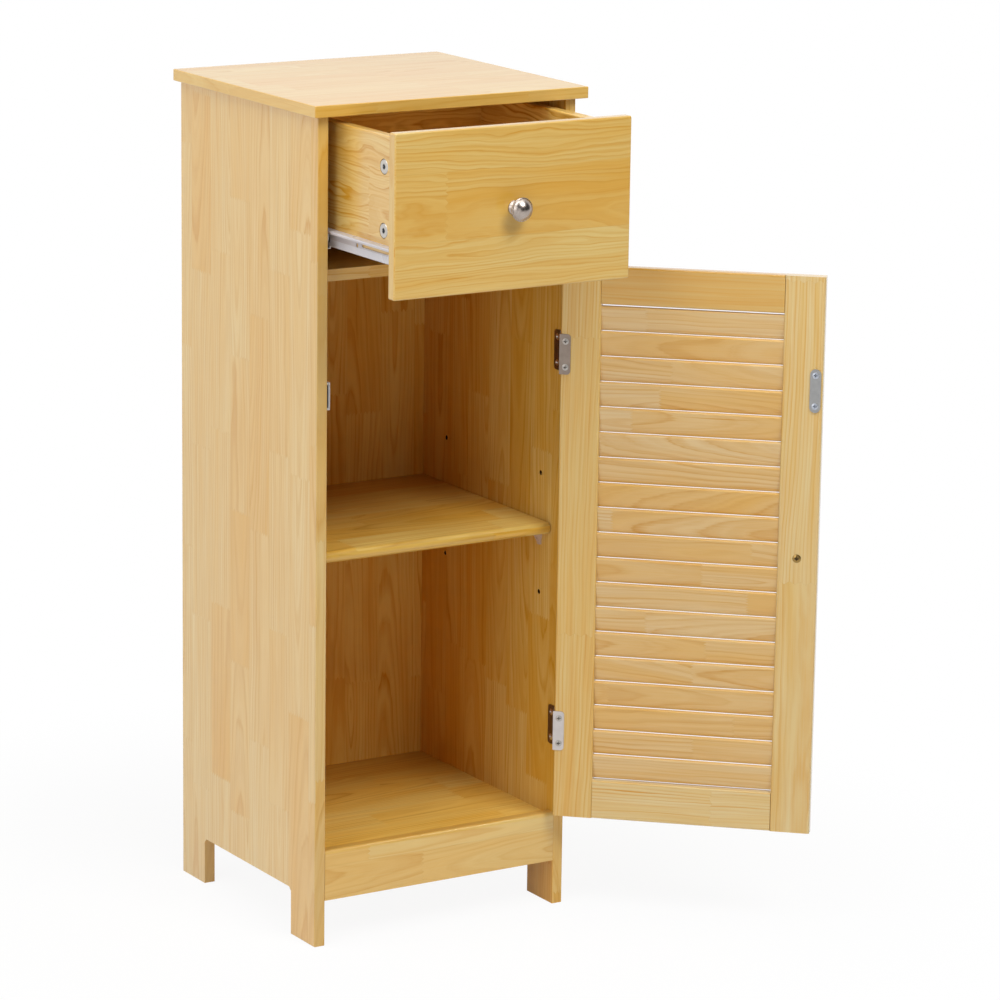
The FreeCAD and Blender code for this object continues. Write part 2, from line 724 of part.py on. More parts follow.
def slat(z, reach_left, reach_right, lean, width, grow):
    """Louvre slat with softened long edges, its upper edge towards the back."""
    middle = vec(reach_left, (front_y + fronts_back) / 2, z)
    along = vec(0, math.sin(lean), math.cos(lean)) * (width / 2 + grow)
    square = vec(0, -math.cos(lean), math.sin(lean)) * (slat_thickness / 2 + grow)
    corners = [middle + along + square, middle + along - square, middle - along - square,
               middle - along + square]
    bar = prism(corners, RIGHT * (reach_right - reach_left))
    return rounded(bar, slat_edge_round + grow, runs_along(RIGHT))


def make_door():
    """Stiles, rails, louvre slats, dowels and the door's knob."""
    thickness = (front_y, fronts_back)
    upright = runs_along(UP)
    sideways = runs_along(RIGHT)
    stiles = {"door_hinge_stile": (stile_inner_right, hinge_edge),
              "door_free_stile": (free_edge, stile_inner_left)}
    for node, limits in stiles.items():
        stile = block(limits, thickness, (door_low, door_top))
        add(door, node, rounded(stile, door_edge_round, upright))
    between = (stile_inner_left, stile_inner_right)
    opening = (door_low + bottom_rail_height, door_top - top_rail_height)
    rails = {"door_bottom_rail": (door_low, opening[0]), "door_top_rail": (opening[1], door_top)}
    for node, limits in rails.items():
        add(door, node, rounded(block(between, thickness, limits), door_edge_round, sideways))
        for seam_x, stile_node, inwards in ((between[0], "door_free_stile", RIGHT),
                                            (between[1], "door_hinge_stile", LEFT)):
            for step in (-0.5, 0.5):
                z = sum(limits) / 2 + step * door_dowel_spread
                seam = vec(seam_x, sum(thickness) / 2, z)
                add_dowel(door, "door_dowels", (node, stile_node), seam, inwards, dowel_length / 2)
    slats_low = opening[0] + slat_low_gap
    slats_top = opening[1] - slat_top_gap
    pitch = (slats_top - slats_low - slat_lap) / slat_count
    lean = math.atan2(board - 2 * slat_set_in - slat_thickness, pitch)
    width = pitch * math.cos(lean) + slat_lap
    housed = slat_housing - slat_clearance
    for step in range(slat_count):
        z = slats_low + slat_lap / 2 + pitch * (step + 0.5)
        add(door, "louvre_slats", slat(z, between[0] - housed, between[1] + housed, lean, width, 0))
        room = slat(z, between[0] - slat_housing, between[1] + slat_housing, lean, width, slat_clearance)
        drill_all(stiles, room)
    add_knob(door, "door_knob", ["door_free_stile"],
             vec(free_edge + door_knob_inset, front_y, (door_low + door_top) / 2))


def make_hinges():
    """Two hinges: a leaf on the wall, a leaf wrapped round the door's edge, a pin and screws."""
    half = hinge_height / 2
    knuckle = hinge_height / 3
    screw_size = (wood_screw_length, wood_screw_radius, fitting_screw_head_radius)

    def barrel(z, low, high, radius):
        """Round bar on the hinge's axis between two heights measured from its middle."""
        return rod(vec(hinge_x, hinge_y, z + low), UP, high - low, radius)

    def near_far_edge(axis, x_or_y, limit):
        """Test for the short edges at the free end of a leaf."""
        def test(edge):
            return runs_along(axis)(edge) and abs(getattr(edge.CenterOfMass, x_or_y) - limit) < leaf
        return test

    for place, z in hinge_heights.items():
        bore = barrel(z, -half, half, hinge_pin_radius + fit_clearance)
        leaf_end = front_y + frame_leaf_depth
        plate = block((wall_x - leaf, wall_x), (hinge_y, leaf_end), (z - half, z + half))
        plate = rounded(plate, leaf_corner, near_far_edge(RIGHT, "y", leaf_end))
        gap_half = knuckle / 2 + knuckle_gap
        middle = barrel(z, -gap_half, gap_half, barrel_radius + knuckle_room)
        frame_node = f"{place}_hinge_frame_leaf"
        add(carcass, frame_node, plate.fuse(barrel(z, -half, half, barrel_radius)).cut([middle, bore]))

        pin = barrel(z, -half - hinge_pin_head_height, half + hinge_pin_head_height, hinge_pin_radius)
        heads = [barrel(z, half, half + hinge_pin_head_height, hinge_pin_head_radius),
                 barrel(z, -half - hinge_pin_head_height, -half, hinge_pin_head_radius)]
        add(carcass, "hinge_pins", pin.fuse(heads).removeSplitter())

        edge = block((hinge_edge, hinge_edge + leaf), (hinge_y, fronts_back + leaf), (z - half, z + half))
        plate_end = hinge_edge - door_leaf_width
        plate = block((plate_end, hinge_edge + leaf), (fronts_back, fronts_back + leaf), (z - half, z + half))
        plate = rounded(plate, leaf_corner, near_far_edge(BACK, "x", plate_end))
        room = barrel_radius + knuckle_room
        outer = [barrel(z, knuckle / 2 - knuckle_gap, half + leaf, room),
                 barrel(z, -half - leaf, knuckle_gap - knuckle / 2, room)]
        core = barrel(z, knuckle_gap - knuckle / 2, knuckle / 2 - knuckle_gap, barrel_radius)
        door_node = f"{place}_hinge_door_leaf"
        add(door, door_node, edge.fuse([plate, core]).cut(outer + [bore]))

        for step in (-0.5, 0.5):
            screw_z = z + step * hinge_screw_spacing
            seat = vec(wall_x - leaf, (front_y + leaf_end) / 2, screw_z)
            add_screw(carcass, "hinge_frame_screws", (frame_node, "right_side_panel"), seat, RIGHT,
                      screw_size, fitting_screw_rise)
            seat = vec(hinge_edge - door_leaf_screw_inset, fronts_back + leaf, screw_z)
            add_screw(door, "hinge_door_screws", (door_node, "door_hinge_stile"), seat, FRONT,
                      screw_size, fitting_screw_rise)


def make_catch():
    """Magnetic catch on the left wall and the strike plate on the door."""
    screw_size = (wood_screw_length, wood_screw_radius, fitting_screw_head_radius)
    plate_face = fronts_back + strike_thickness
    half = strike_width / 2
    span = strike_height / 2 - half
    plate = block((strike_x - half, strike_x + half), (fronts_back, plate_face),
                  (strike_z - span, strike_z + span))
    ends = []
    for end in (-span, span):
        ends.append(rod(vec(strike_x, fronts_back, strike_z + end), BACK, strike_thickness, half))
    add(door, "strike_plate", plate.fuse(ends).removeSplitter())
    for step in (-0.5, 0.5):
        seat = vec(strike_x, plate_face, strike_z + step * strike_screw_spacing)
        add_screw(door, "strike_screws", ("strike_plate", "door_free_stile"), seat, FRONT, screw_size,
                  fitting_screw_rise)

    pole_front = plate_face + catch_gap
    case_front = pole_front + pole_proud
    case_y = (case_front, case_front + catch_depth)
    case_z = (strike_z - catch_height / 2, strike_z + catch_height / 2)
    case = block((-wall_x, catch_width - wall_x), case_y, case_z)
    case = rounded(case, board_edge_round, runs_along(UP))
    middle_y = case_front + catch_depth / 2
    reach = catch_height / 2 + catch_flange_reach
    ears = block((-wall_x, catch_flange - wall_x),
                 (middle_y - catch_flange_depth / 2, middle_y + catch_flange_depth / 2),
                 (strike_z - reach, strike_z + reach))
    middle_x = catch_width / 2 - wall_x
    stack = magnet_width / 2 + pole_thickness + 2 * catch_clearance
    room = pole_height / 2 + catch_clearance
    pocket_y = (case_front, pole_front + pole_depth + catch_clearance)
    pocket = block((middle_x - stack, middle_x + stack), pocket_y, (strike_z - room, strike_z + room))
    add(carcass, "catch_housing", case.fuse(ears).removeSplitter().cut(pocket))
    heights = (strike_z - pole_height / 2, strike_z + pole_height / 2)
    depth = (pole_front, pole_front + pole_depth)
    add(carcass, "catch_magnet", block((middle_x - magnet_width / 2, middle_x + magnet_width / 2),
                                       (case_front, depth[1]), heights))
    for sign in SIDES.values():
        near = middle_x + sign * (magnet_width / 2 + catch_clearance)
        far = near + sign * pole_thickness
        add(carcass, "catch_pole_plates", block(sorted((near, far)), depth, heights))
    for sign in SIDES.values():
        seat = vec(catch_flange - wall_x, middle_y, strike_z + sign * (reach - catch_flange_reach / 2))
        add_screw(carcass, "catch_screws", ("catch_housing", "left_side_panel"), seat, LEFT, screw_size)


def write_nodes():
    """Cuts the holes, opens the drawer and the door, and writes one file for each node."""
    os.makedirs("parts", exist_ok=True)
    slide = FreeCAD.Placement(FRONT * drawer_out, FreeCAD.Rotation())
    swing = FreeCAD.Placement(vec(0, 0, 0), FreeCAD.Rotation(UP, door_open), vec(hinge_x, hinge_y, 0))
    for group, move in ((carcass, FreeCAD.Placement()), (drawer, slide), (door, swing)):
        for node, solids in group.items():
            finished = []
            for solid in solids:
                if node in holes:
                    solid = solid.cut(holes[node])
                finished.extend(solid.Solids)
            shape = finished[0] if len(finished) == 1 else Part.makeCompound(finished)
            shape.transformShape(move.toMatrix(), True)
            shape.exportStep(f"parts/{node}.step")


make_boards()
make_shelf_pins()
make_carcass_joints()
make_drawer_box()
make_runners()
make_door()
make_hinges()
make_catch()
write_nodes()
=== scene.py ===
import json
import logging
import math
from collections.abc import Iterable
from dataclasses import dataclass, replace
from enum import Enum

import bpy
from mathutils import Matrix, Vector


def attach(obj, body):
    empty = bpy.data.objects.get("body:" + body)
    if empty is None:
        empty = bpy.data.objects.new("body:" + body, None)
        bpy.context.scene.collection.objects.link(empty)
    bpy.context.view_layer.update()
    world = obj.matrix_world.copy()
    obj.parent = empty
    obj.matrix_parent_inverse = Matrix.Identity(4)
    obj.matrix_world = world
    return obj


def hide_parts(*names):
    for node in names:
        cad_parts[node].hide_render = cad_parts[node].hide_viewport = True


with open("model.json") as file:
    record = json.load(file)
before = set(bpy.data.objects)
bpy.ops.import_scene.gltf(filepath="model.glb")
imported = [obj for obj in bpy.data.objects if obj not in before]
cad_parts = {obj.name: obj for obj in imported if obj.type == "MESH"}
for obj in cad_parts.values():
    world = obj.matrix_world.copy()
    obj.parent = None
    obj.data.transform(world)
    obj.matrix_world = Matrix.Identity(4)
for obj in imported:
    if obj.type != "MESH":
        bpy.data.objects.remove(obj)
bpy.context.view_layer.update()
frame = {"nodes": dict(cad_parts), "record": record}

log = logging.getLogger("column_cabinet")

Colour = tuple[float, float, float, float]
Point = tuple[float, float, float]
Socket = bpy.types.NodeSocket
Value = Socket | float | Colour | Point

WHITE: Colour = (1.0, 1.0, 1.0, 1.0)
BUMP_STRENGTH = 0.6


def screen(red: float, green: float, blue: float) -> Colour:
    """Linear colour from screen values.

    Args:
        red: red from 0 to 255.
        green: green from 0 to 255.
        blue: blue from 0 to 255.

    Returns:
        Linear red, green and blue with full alpha.
    """
    def linear(value: float) -> float:
        """One channel, from the screen's curve to linear light."""
        share = value / 255
        return share / 12.92 if share <= 0.04045 else ((share + 0.055) / 1.055) ** 2.4

    return (linear(red), linear(green), linear(blue), 1.0)


class Axis(Enum):
    """Direction of a board's grain or width with the door shut."""

    X = (1.0, 0.0, 0.0)
    Y = (0.0, 1.0, 0.0)
    Z = (0.0, 0.0, 1.0)


class Graph:
    """Adds and joins the nodes of one tree."""

    def __init__(self, tree: bpy.types.NodeTree) -> None:
        """Keeps the tree that the nodes go into."""
        self.tree = tree

    def add(self, kind: str, **settings: object) -> bpy.types.Node:
        """New node.

        Args:
            kind: node type.
            settings: properties to set on it.

        Returns:
            The node.
        """
        node = self.tree.nodes.new(kind)
        for name, value in settings.items():
            setattr(node, name, value)
        return node

    def feed(self, socket: Socket, value: Value) -> None:
        """Joins an input to an output, or sets it to a constant.

        Args:
            socket: input to feed.
            value: output socket, number, colour or point.
        """
        if isinstance(value, bpy.types.NodeSocket):
            self.tree.links.new(value, socket)
        else:
            socket.default_value = value

    def math(self, operation: str, *values: Value) -> Socket:
        """Result of a Math node.

        Args:
            operation: the node's operation.
            values: its inputs in order.

        Returns:
            The output socket.
        """
        node = self.add("ShaderNodeMath", operation=operation)
        for socket, value in zip(node.inputs, values):
            self.feed(socket, value)
        return node.outputs[0]

    def total(self, *values: Value) -> Socket:
        """Sum of several values.

        Args:
            values: numbers or sockets.

        Returns:
            The output socket.
        """
        result = values[0]
        for value in values[1:]:
            result = self.math("ADD", result, value)
        return result

    def fit(self, value: Value, factor: float, offset: float) -> Socket:
        """Value times a factor plus an offset."""
        return self.math("MULTIPLY_ADD", value, factor, offset)

    def join(self, x: Value, y: Value, z: Value) -> Socket:
        """Vector from three values.

        Args:
            x: first part.
            y: second part.
            z: third part.

        Returns:
            The vector's socket.
        """
        node = self.add("ShaderNodeCombineXYZ")
        for socket, value in zip(node.inputs, (x, y, z)):
            self.feed(socket, value)
        return node.outputs[0]

    def split(self, vector: Value) -> list[Socket]:
        """The three parts of a vector or colour."""
        node = self.add("ShaderNodeSeparateXYZ")
        self.feed(node.inputs[0], vector)
        return list(node.outputs)

    def chance(self, x: Value, y: Value, z: Value) -> list[Socket]:
        """Three steady random values for a cell.

        Args:
            x: first number of the cell.
            y: second number of the cell.
            z: third number of the cell.

        Returns:
            Three sockets from 0 to 1.
        """
        node = self.add("ShaderNodeTexWhiteNoise", noise_dimensions="3D")
        self.feed(node.inputs["Vector"], self.join(x, y, z))
        return self.split(node.outputs["Color"])

    def cloud(self, vector: Value, scale: float = 1.0, detail: float = 2.0) -> Socket:
        """Smooth noise around nought.

        Args:
            vector: place.
            scale: size of the pattern, in repeats for each unit.
            detail: octaves.

        Returns:
            Socket from about -0.5 to 0.5.
        """
        node = self.add("ShaderNodeTexNoise")
        self.feed(node.inputs["Vector"], vector)
        node.inputs["Scale"].default_value = scale
        node.inputs["Detail"].default_value = detail
        return self.math("SUBTRACT", node.outputs["Fac"], 0.5)

    def streaks(self, first: Value, second: Value, repeats: tuple[float, float], third: Value,
                detail: float = 2.0) -> Socket:
        """Smooth noise with its own repeats along two directions.

        Args:
            first: place along the first direction.
            second: place along the second direction.
            repeats: repeats of the pattern for each unit of the two.
            third: number that shifts the pattern.
            detail: octaves.

        Returns:
            Socket from about -0.5 to 0.5.
        """
        place = self.join(self.fit(first, repeats[0], 0), self.fit(second, repeats[1], 0), third)
        return self.cloud(place, 1.0, detail)

    def within(self, value: Value, low: float, high: float) -> Socket:
        """Value kept between two limits."""
        return self.math("MINIMUM", self.math("MAXIMUM", value, low), high)

    def grade(self, value: Value, points: Iterable[tuple[float, float]]) -> Socket:
        """Value passed through a curve of straight steps.

        Args:
            value: socket from 0 to 1.
            points: places and heights on the curve.

        Returns:
            The curve's height.
        """
        ramp = self.add("ShaderNodeValToRGB")
        self.feed(ramp.inputs[0], value)
        steps = list(points)
        elements = ramp.color_ramp.elements
        while len(elements) < len(steps):
            elements.new(0.5)
        for element, (place, height) in zip(elements, steps):
            element.position = place
            element.color = (height, height, height, 1.0)
        return ramp.outputs["Color"]

    def between(self, share: Value, low: Value, high: Value) -> Socket:
        """Number between two others.

        Args:
            share: 0 gives low and 1 gives high.
            low: first number.
            high: second number.

        Returns:
            The output socket.
        """
        node = self.add("ShaderNodeMix", data_type="FLOAT")
        for socket, value in zip((node.inputs[0], node.inputs[2], node.inputs[3]), (share, low, high)):
            self.feed(socket, value)
        return node.outputs[0]

    def tint(self, share: Value, low: Value, high: Value, blend: str = "MIX") -> Socket:
        """Colour between two others, or blended with the second.

        Args:
            share: 0 gives low and 1 gives high.
            low: first colour.
            high: second colour.
            blend: the node's way of blending.

        Returns:
            The output socket.
        """
        node = self.add("ShaderNodeMix", data_type="RGBA", blend_type=blend)
        for socket, value in zip((node.inputs[0], node.inputs[6], node.inputs[7]), (share, low, high)):
            self.feed(socket, value)
        return node.outputs[2]

    def ease(self, value: Value, low: Value, high: Value) -> Socket:
        """Soft step.

        Args:
            value: number to judge.
            low: place where the step starts at 0.
            high: place where it ends at 1.

        Returns:
            The output socket.
        """
        node = self.add("ShaderNodeMapRange", interpolation_type="SMOOTHSTEP")
        for label, number in (("Value", value), ("From Min", low), ("From Max", high)):
            self.feed(node.inputs[label], number)
        return node.outputs["Result"]

    def dim(self, colour: Value, factor: Value) -> Socket:
        """Colour times a number."""
        node = self.add("ShaderNodeVectorMath", operation="SCALE")
        self.feed(node.inputs[0], colour)
        self.feed(node.inputs["Scale"], factor)
        return node.outputs[0]


class Effect:
    """Shader group that several materials share, built once."""

    name = "effect"
    inputs: dict[str, str] = {}
    outputs: dict[str, str] = {"Color": "NodeSocketColor", "Roughness": "NodeSocketFloat",
                               "Height": "NodeSocketFloat"}

    @classmethod
    def tree(cls) -> bpy.types.NodeTree:
        """The group's tree, made on first use.

        Returns:
            The shader node tree.
        """
        if cls.name in bpy.data.node_groups:
            return bpy.data.node_groups[cls.name]
        tree = bpy.data.node_groups.new(cls.name, "ShaderNodeTree")
        for label, kind in cls.inputs.items():
            tree.interface.new_socket(label, in_out="INPUT", socket_type=kind)
        for label, kind in cls.outputs.items():
            tree.interface.new_socket(label, in_out="OUTPUT", socket_type=kind)
        graph = Graph(tree)
        given = {socket.name: socket for socket in graph.add("NodeGroupInput").outputs if socket.name}
        made = cls.draw(graph, given)
        end = graph.add("NodeGroupOutput")
        for label, socket in made.items():
            graph.feed(end.inputs[label], socket)
        return tree

    @classmethod
    def draw(cls, graph: Graph, given: dict[str, Socket]) -> dict[str, Socket]:
        """Nodes of the group.

        Args:
            graph: the group's graph.
            given: input sockets by name.

        Returns:
            Output sockets by name.
        """
        raise NotImplementedError

    @classmethod
    def place(cls, graph: Graph, **values: Value) -> bpy.types.Node:
        """Group node in a material.

        Args:
            graph: the material's graph.
            values: inputs by name, with _ for a space.

        Returns:
            The group node.
        """
        node = graph.add("ShaderNodeGroup", node_tree=cls.tree())
        for label, value in values.items():
            graph.feed(node.inputs[label.replace("_", " ")], value)
        return node


class PineStaves(Effect):
    """Finger-jointed staves of pine with growth rings, fibres and a thin glue line."""

    name = "pine_staves"
    inputs = {
        "Vector": "NodeSocketVector", "Normal": "NodeSocketVector", "Seed": "NodeSocketFloat",
        "Stave Width": "NodeSocketFloat", "Stave Length": "NodeSocketFloat", "Stave Shift": "NodeSocketFloat",
        "Ring Spacing": "NodeSocketFloat", "Figure": "NodeSocketFloat", "Spread": "NodeSocketFloat",
        "Waves": "NodeSocketFloat", "Bands": "NodeSocketFloat", "Contrast": "NodeSocketFloat",
        "Fibres": "NodeSocketFloat", "Pale": "NodeSocketColor", "Warm": "NodeSocketColor",
        "Line": "NodeSocketColor", "Gloss": "NodeSocketFloat",
    }
    # steps of the seed that give each face of a board a pattern of its own
    end_step, edge_step, broad_step = 7.13, 5.31, 3.77
    # steps that give each stave its own rings and bands
    slant_step, heart_step, stave_step = 53.0, 31.0, 41.0
    # finger joints: teeth across a stave and their length in metres
    tooth_count, tooth_length = 9.0, 0.007
    # length of a row's staves: the least share of the given one, what chance adds, and how far rows slip
    least_length, more_length, row_slip = 0.7, 0.6, 19.0
    # heart of the trunk: its place across a stave, its depth below the face and its slant
    heart_span, heart_start = 1.5, -0.25
    heart_depth, heart_least = 0.03, 0.006
    slant_span, slant_start = 0.16, -0.08
    # late wood: its darkness over one ring, and the least that a ring shows of it
    ring_curve = ((0.0, 0.45), (0.1, 0.05), (0.5, 0.1), (0.85, 0.7), (0.94, 1.0), (1.0, 0.45))
    late_least, late_more = 0.25, 0.75
    # repeats of each pattern for a metre along and across the grain
    bend_repeats, ripple_repeats, tone_repeats = (3.0, 16.0), (16.0, 55.0), (3.0, 15.0)
    fibre_repeats, fleck_repeats = (14.0, 620.0), (9.0, 330.0)
    # repeats for a ring and for a metre along the grain
    band_repeats, fine_repeats = (0.5, 5.0), (2.7, 9.0)
    # flecks: how sharp and how rare
    fleck_gain, fleck_start = 7.0, -1.5
    # weights in the tone and in the dark lines
    tone_middle, tone_weight = 0.5, 0.5
    late_weight, line_base, fine_weight, fibre_weight, darkest = 0.7, 0.08, 1.1, 0.9, 1.2
    # glue line: half its width in metres and how much it darkens, and the shade of a fibre
    glue_half, glue_shade, fibre_shade = 0.0003, 0.05, 0.1
    # weights in the roughness and in the relief
    late_rough, fibre_rough = 0.05, 0.12
    late_height, fibre_height = 0.35, 0.5

    @classmethod
    def draw(cls, graph: Graph, given: dict[str, Socket]) -> dict[str, Socket]:
        """Nodes of the group.

        Args:
            graph: the group's graph.
            given: input sockets by name.

        Returns:
            Output sockets by name.
        """
        x, y, z = graph.split(given["Vector"])
        nx, ny, nz = [graph.math("ROUND", part) for part in graph.split(given["Normal"])]
        is_broad = graph.math("ABSOLUTE", nz)
        along = graph.between(graph.math("ABSOLUTE", nx), x, y)
        across = graph.between(is_broad, z, y)
        edge = graph.between(is_broad, graph.fit(ny, cls.edge_step, 0), graph.fit(nz, cls.broad_step, 0))
        face = graph.total(given["Seed"], graph.fit(nx, cls.end_step, 0), edge)

        width = given["Stave Width"]
        lane = graph.math("DIVIDE", graph.math("ADD", across, given["Stave Shift"]), width)
        row = graph.math("FLOOR", lane)
        part = graph.math("FRACT", lane)
        row_chance = graph.chance(row, face, 0.5)
        length_share = graph.fit(row_chance[0], cls.more_length, cls.least_length)
        length = graph.math("MULTIPLY", given["Stave Length"], length_share)
        tooth = graph.math("PINGPONG", graph.fit(part, cls.tooth_count, 0), 0.5)
        reach = graph.math("DIVIDE", graph.math("MULTIPLY_ADD", tooth, cls.tooth_length, along), length)
        reach = graph.math("MULTIPLY_ADD", row_chance[1], cls.row_slip, reach)
        piece = graph.math("FLOOR", reach)
        run = graph.math("FRACT", reach)
        slant, heart, depth = graph.chance(row, piece, face)

        bend = graph.streaks(along, across, cls.bend_repeats, face)
        ripple = graph.streaks(along, across, cls.ripple_repeats, face)
        from_heart = graph.math("SUBTRACT", part, graph.fit(heart, cls.heart_span, cls.heart_start))
        aside = graph.math("MULTIPLY_ADD", bend, given["Figure"], graph.math("MULTIPLY", from_heart, width))
        travel = graph.math("MULTIPLY", run, length)
        below = graph.math("MULTIPLY_ADD", graph.fit(slant, cls.slant_span, cls.slant_start), travel,
                           graph.fit(depth, cls.heart_depth, cls.heart_least))
        radius = graph.math("SQRT", graph.math("ADD", graph.math("POWER", aside, 2.0),
                                               graph.math("POWER", below, 2.0)))
        ring = graph.math("MULTIPLY_ADD", ripple, given["Waves"],
                          graph.math("DIVIDE", radius, given["Ring Spacing"]))
        ring_chance = graph.chance(graph.math("FLOOR", ring), graph.fit(slant, cls.slant_step, 0),
                                   graph.fit(heart, cls.heart_step, 0))
        late = graph.grade(graph.math("FRACT", ring), cls.ring_curve)
        late = graph.math("MULTIPLY", late, graph.fit(ring_chance[0], cls.late_more, cls.late_least))
        stave = graph.math("MULTIPLY_ADD", slant, cls.stave_step, face)
        band = graph.streaks(ring, along, cls.band_repeats, stave, 1.0)
        fine = graph.streaks(ring, along, cls.fine_repeats, stave, 2.0)

        fibre = graph.streaks(along, across, cls.fibre_repeats, face, 3.0)
        fleck = graph.streaks(along, across, cls.fleck_repeats, stave, 1.0)
        fleck = graph.math("MAXIMUM", graph.fit(fleck, cls.fleck_gain, cls.fleck_start), 0.0)
        drift = graph.streaks(along, across, cls.tone_repeats, face, 1.0)
        tone = graph.math("MULTIPLY_ADD", graph.math("SUBTRACT", depth, 0.5), given["Spread"], cls.tone_middle)
        tone = graph.total(tone, graph.fit(drift, cls.tone_weight, 0),
                           graph.math("MULTIPLY", band, given["Bands"]))
        colour = graph.tint(graph.within(tone, 0.0, 1.0), given["Pale"], given["Warm"])
        threads = graph.math("ADD", graph.fit(fibre, cls.fibre_weight, 0), fleck)
        threads = graph.math("MULTIPLY", threads, given["Fibres"])
        lines = graph.total(graph.fit(late, cls.late_weight, cls.line_base),
                            graph.fit(fine, cls.fine_weight, 0), threads)
        lines = graph.within(lines, 0.0, cls.darkest)
        colour = graph.tint(graph.math("MULTIPLY", lines, given["Contrast"]), colour, given["Line"])

        seam = graph.math("MULTIPLY", graph.math("PINGPONG", part, 0.5), width)
        seam = graph.math("MINIMUM", seam, graph.math("MULTIPLY", graph.math("PINGPONG", run, 0.5), length))
        glue = graph.math("LESS_THAN", seam, cls.glue_half)
        shade = graph.math("SUBTRACT", graph.fit(fibre, cls.fibre_shade, 1.0),
                           graph.fit(glue, cls.glue_shade, 0))
        rough = graph.total(given["Gloss"], graph.fit(late, cls.late_rough, 0),
                            graph.fit(fibre, cls.fibre_rough, 0))
        height = graph.math("SUBTRACT", graph.fit(fibre, cls.fibre_height, 0),
                            graph.fit(late, cls.late_height, 0))
        return {"Color": graph.dim(colour, shade), "Roughness": rough, "Height": height}


class PaintedCupboardShade(Effect):
    """Masks of painted shade: deeper in the cupboard and below its floor, and in the holes of a side wall."""

    name = "painted_cupboard_shade"
    inputs = {"Vector": "NodeSocketVector", "Half Width": "NodeSocketFloat", "Low": "NodeSocketFloat",
              "Front": "NodeSocketFloat", "Deep": "NodeSocketFloat"}
    outputs = {"Mask": "NodeSocketFloat", "Hole": "NodeSocketFloat"}
    # holes of a wall: the middle of their depth and half of it
    hole_middle, hole_half = 0.0058, 0.0055
    # half of a wall's depth, less its front and back edges
    wall_half = 0.13

    @classmethod
    def draw(cls, graph: Graph, given: dict[str, Socket]) -> dict[str, Socket]:
        """Nodes of the group.

        Args:
            graph: the group's graph.
            given: input sockets by name.

        Returns:
            Output sockets by name.
        """
        x, y, z = graph.split(given["Vector"])
        in_wall = graph.math("SUBTRACT", graph.math("ABSOLUTE", x), given["Half Width"])
        above_floor = graph.math("GREATER_THAN", z, given["Low"])
        clear_of_edges = graph.math("MULTIPLY", graph.math("COMPARE", y, 0.0, cls.wall_half), above_floor)
        # holes of a side wall, masked for a painted shade
        hole = graph.math("COMPARE", in_wall, cls.hole_middle, cls.hole_half)
        hole = graph.math("MULTIPLY", hole, clear_of_edges)
        # painted shade: grows towards the back of the cupboard and is full below its floor
        back = graph.math("MAXIMUM", graph.ease(y, given["Front"], given["Deep"]),
                          graph.math("SUBTRACT", 1.0, above_floor))
        between_walls = graph.math("LESS_THAN", in_wall, 0.0)
        return {"Mask": graph.math("MULTIPLY", between_walls, back), "Hole": hole}


class PlatedMetal(Effect):
    """Plated metal with faint scratches and handling smudges."""

    name = "plated_metal"
    inputs = {"Vector": "NodeSocketVector", "Tint": "NodeSocketColor", "Dull": "NodeSocketColor",
              "Gloss": "NodeSocketFloat", "Smudge": "NodeSocketFloat"}
    smear_repeats = 140.0
    scratch_repeats = (1500.0, 1500.0, 90.0)
    scratch_rough = 0.1
    dull_gain, dull_share = 1.2, 0.4

    @classmethod
    def draw(cls, graph: Graph, given: dict[str, Socket]) -> dict[str, Socket]:
        """Nodes of the group.

        Args:
            graph: the group's graph.
            given: input sockets by name.

        Returns:
            Output sockets by name.
        """
        smear = graph.cloud(given["Vector"], cls.smear_repeats, 3.0)
        parts = zip(graph.split(given["Vector"]), cls.scratch_repeats)
        scratch = graph.cloud(graph.join(*(graph.fit(part, repeats, 0) for part, repeats in parts)))
        colour = graph.tint(graph.fit(smear, cls.dull_gain, cls.dull_share), given["Tint"], given["Dull"])
        rough = graph.math("MULTIPLY_ADD", smear, given["Smudge"], given["Gloss"])
        rough = graph.math("MULTIPLY_ADD", scratch, cls.scratch_rough, rough)
        return {"Color": colour, "Roughness": rough, "Height": scratch}


class CoatedSurface(Effect):
    """Powder coat or moulded plastic: a fine peel and slight changes of tone."""

    name = "coated_surface"
    inputs = {"Vector": "NodeSocketVector", "Tint": "NodeSocketColor", "Shade": "NodeSocketColor",
              "Gloss": "NodeSocketFloat", "Peel": "NodeSocketFloat"}
    patch_repeats, peel_repeats = 45.0, 1100.0
    patch_rough = 0.15
    shade_gain, shade_share = 1.4, 0.4

    @classmethod
    def draw(cls, graph: Graph, given: dict[str, Socket]) -> dict[str, Socket]:
        """Nodes of the group.

        Args:
            graph: the group's graph.
            given: input sockets by name.

        Returns:
            Output sockets by name.
        """
        patch = graph.cloud(given["Vector"], cls.patch_repeats, 3.0)
        peel = graph.cloud(given["Vector"], cls.peel_repeats, 1.0)
        colour = graph.tint(graph.fit(patch, cls.shade_gain, cls.shade_share), given["Tint"], given["Shade"])
        rough = graph.math("MULTIPLY_ADD", patch, cls.patch_rough, given["Gloss"])
        return {"Color": colour, "Roughness": rough, "Height": graph.math("MULTIPLY", peel, given["Peel"])}


def blank_material(name: str) -> tuple[bpy.types.Material, Graph, bpy.types.Node]:
    """Material that holds one Principled shader.

    Args:
        name: the material's name.

    Returns:
        The material, its graph and the shader node.
    """
    material = bpy.data.materials.new(name)
    material.use_nodes = True
    graph = Graph(material.node_tree)
    shader = material.node_tree.nodes["Principled BSDF"]
    return material, graph, shader


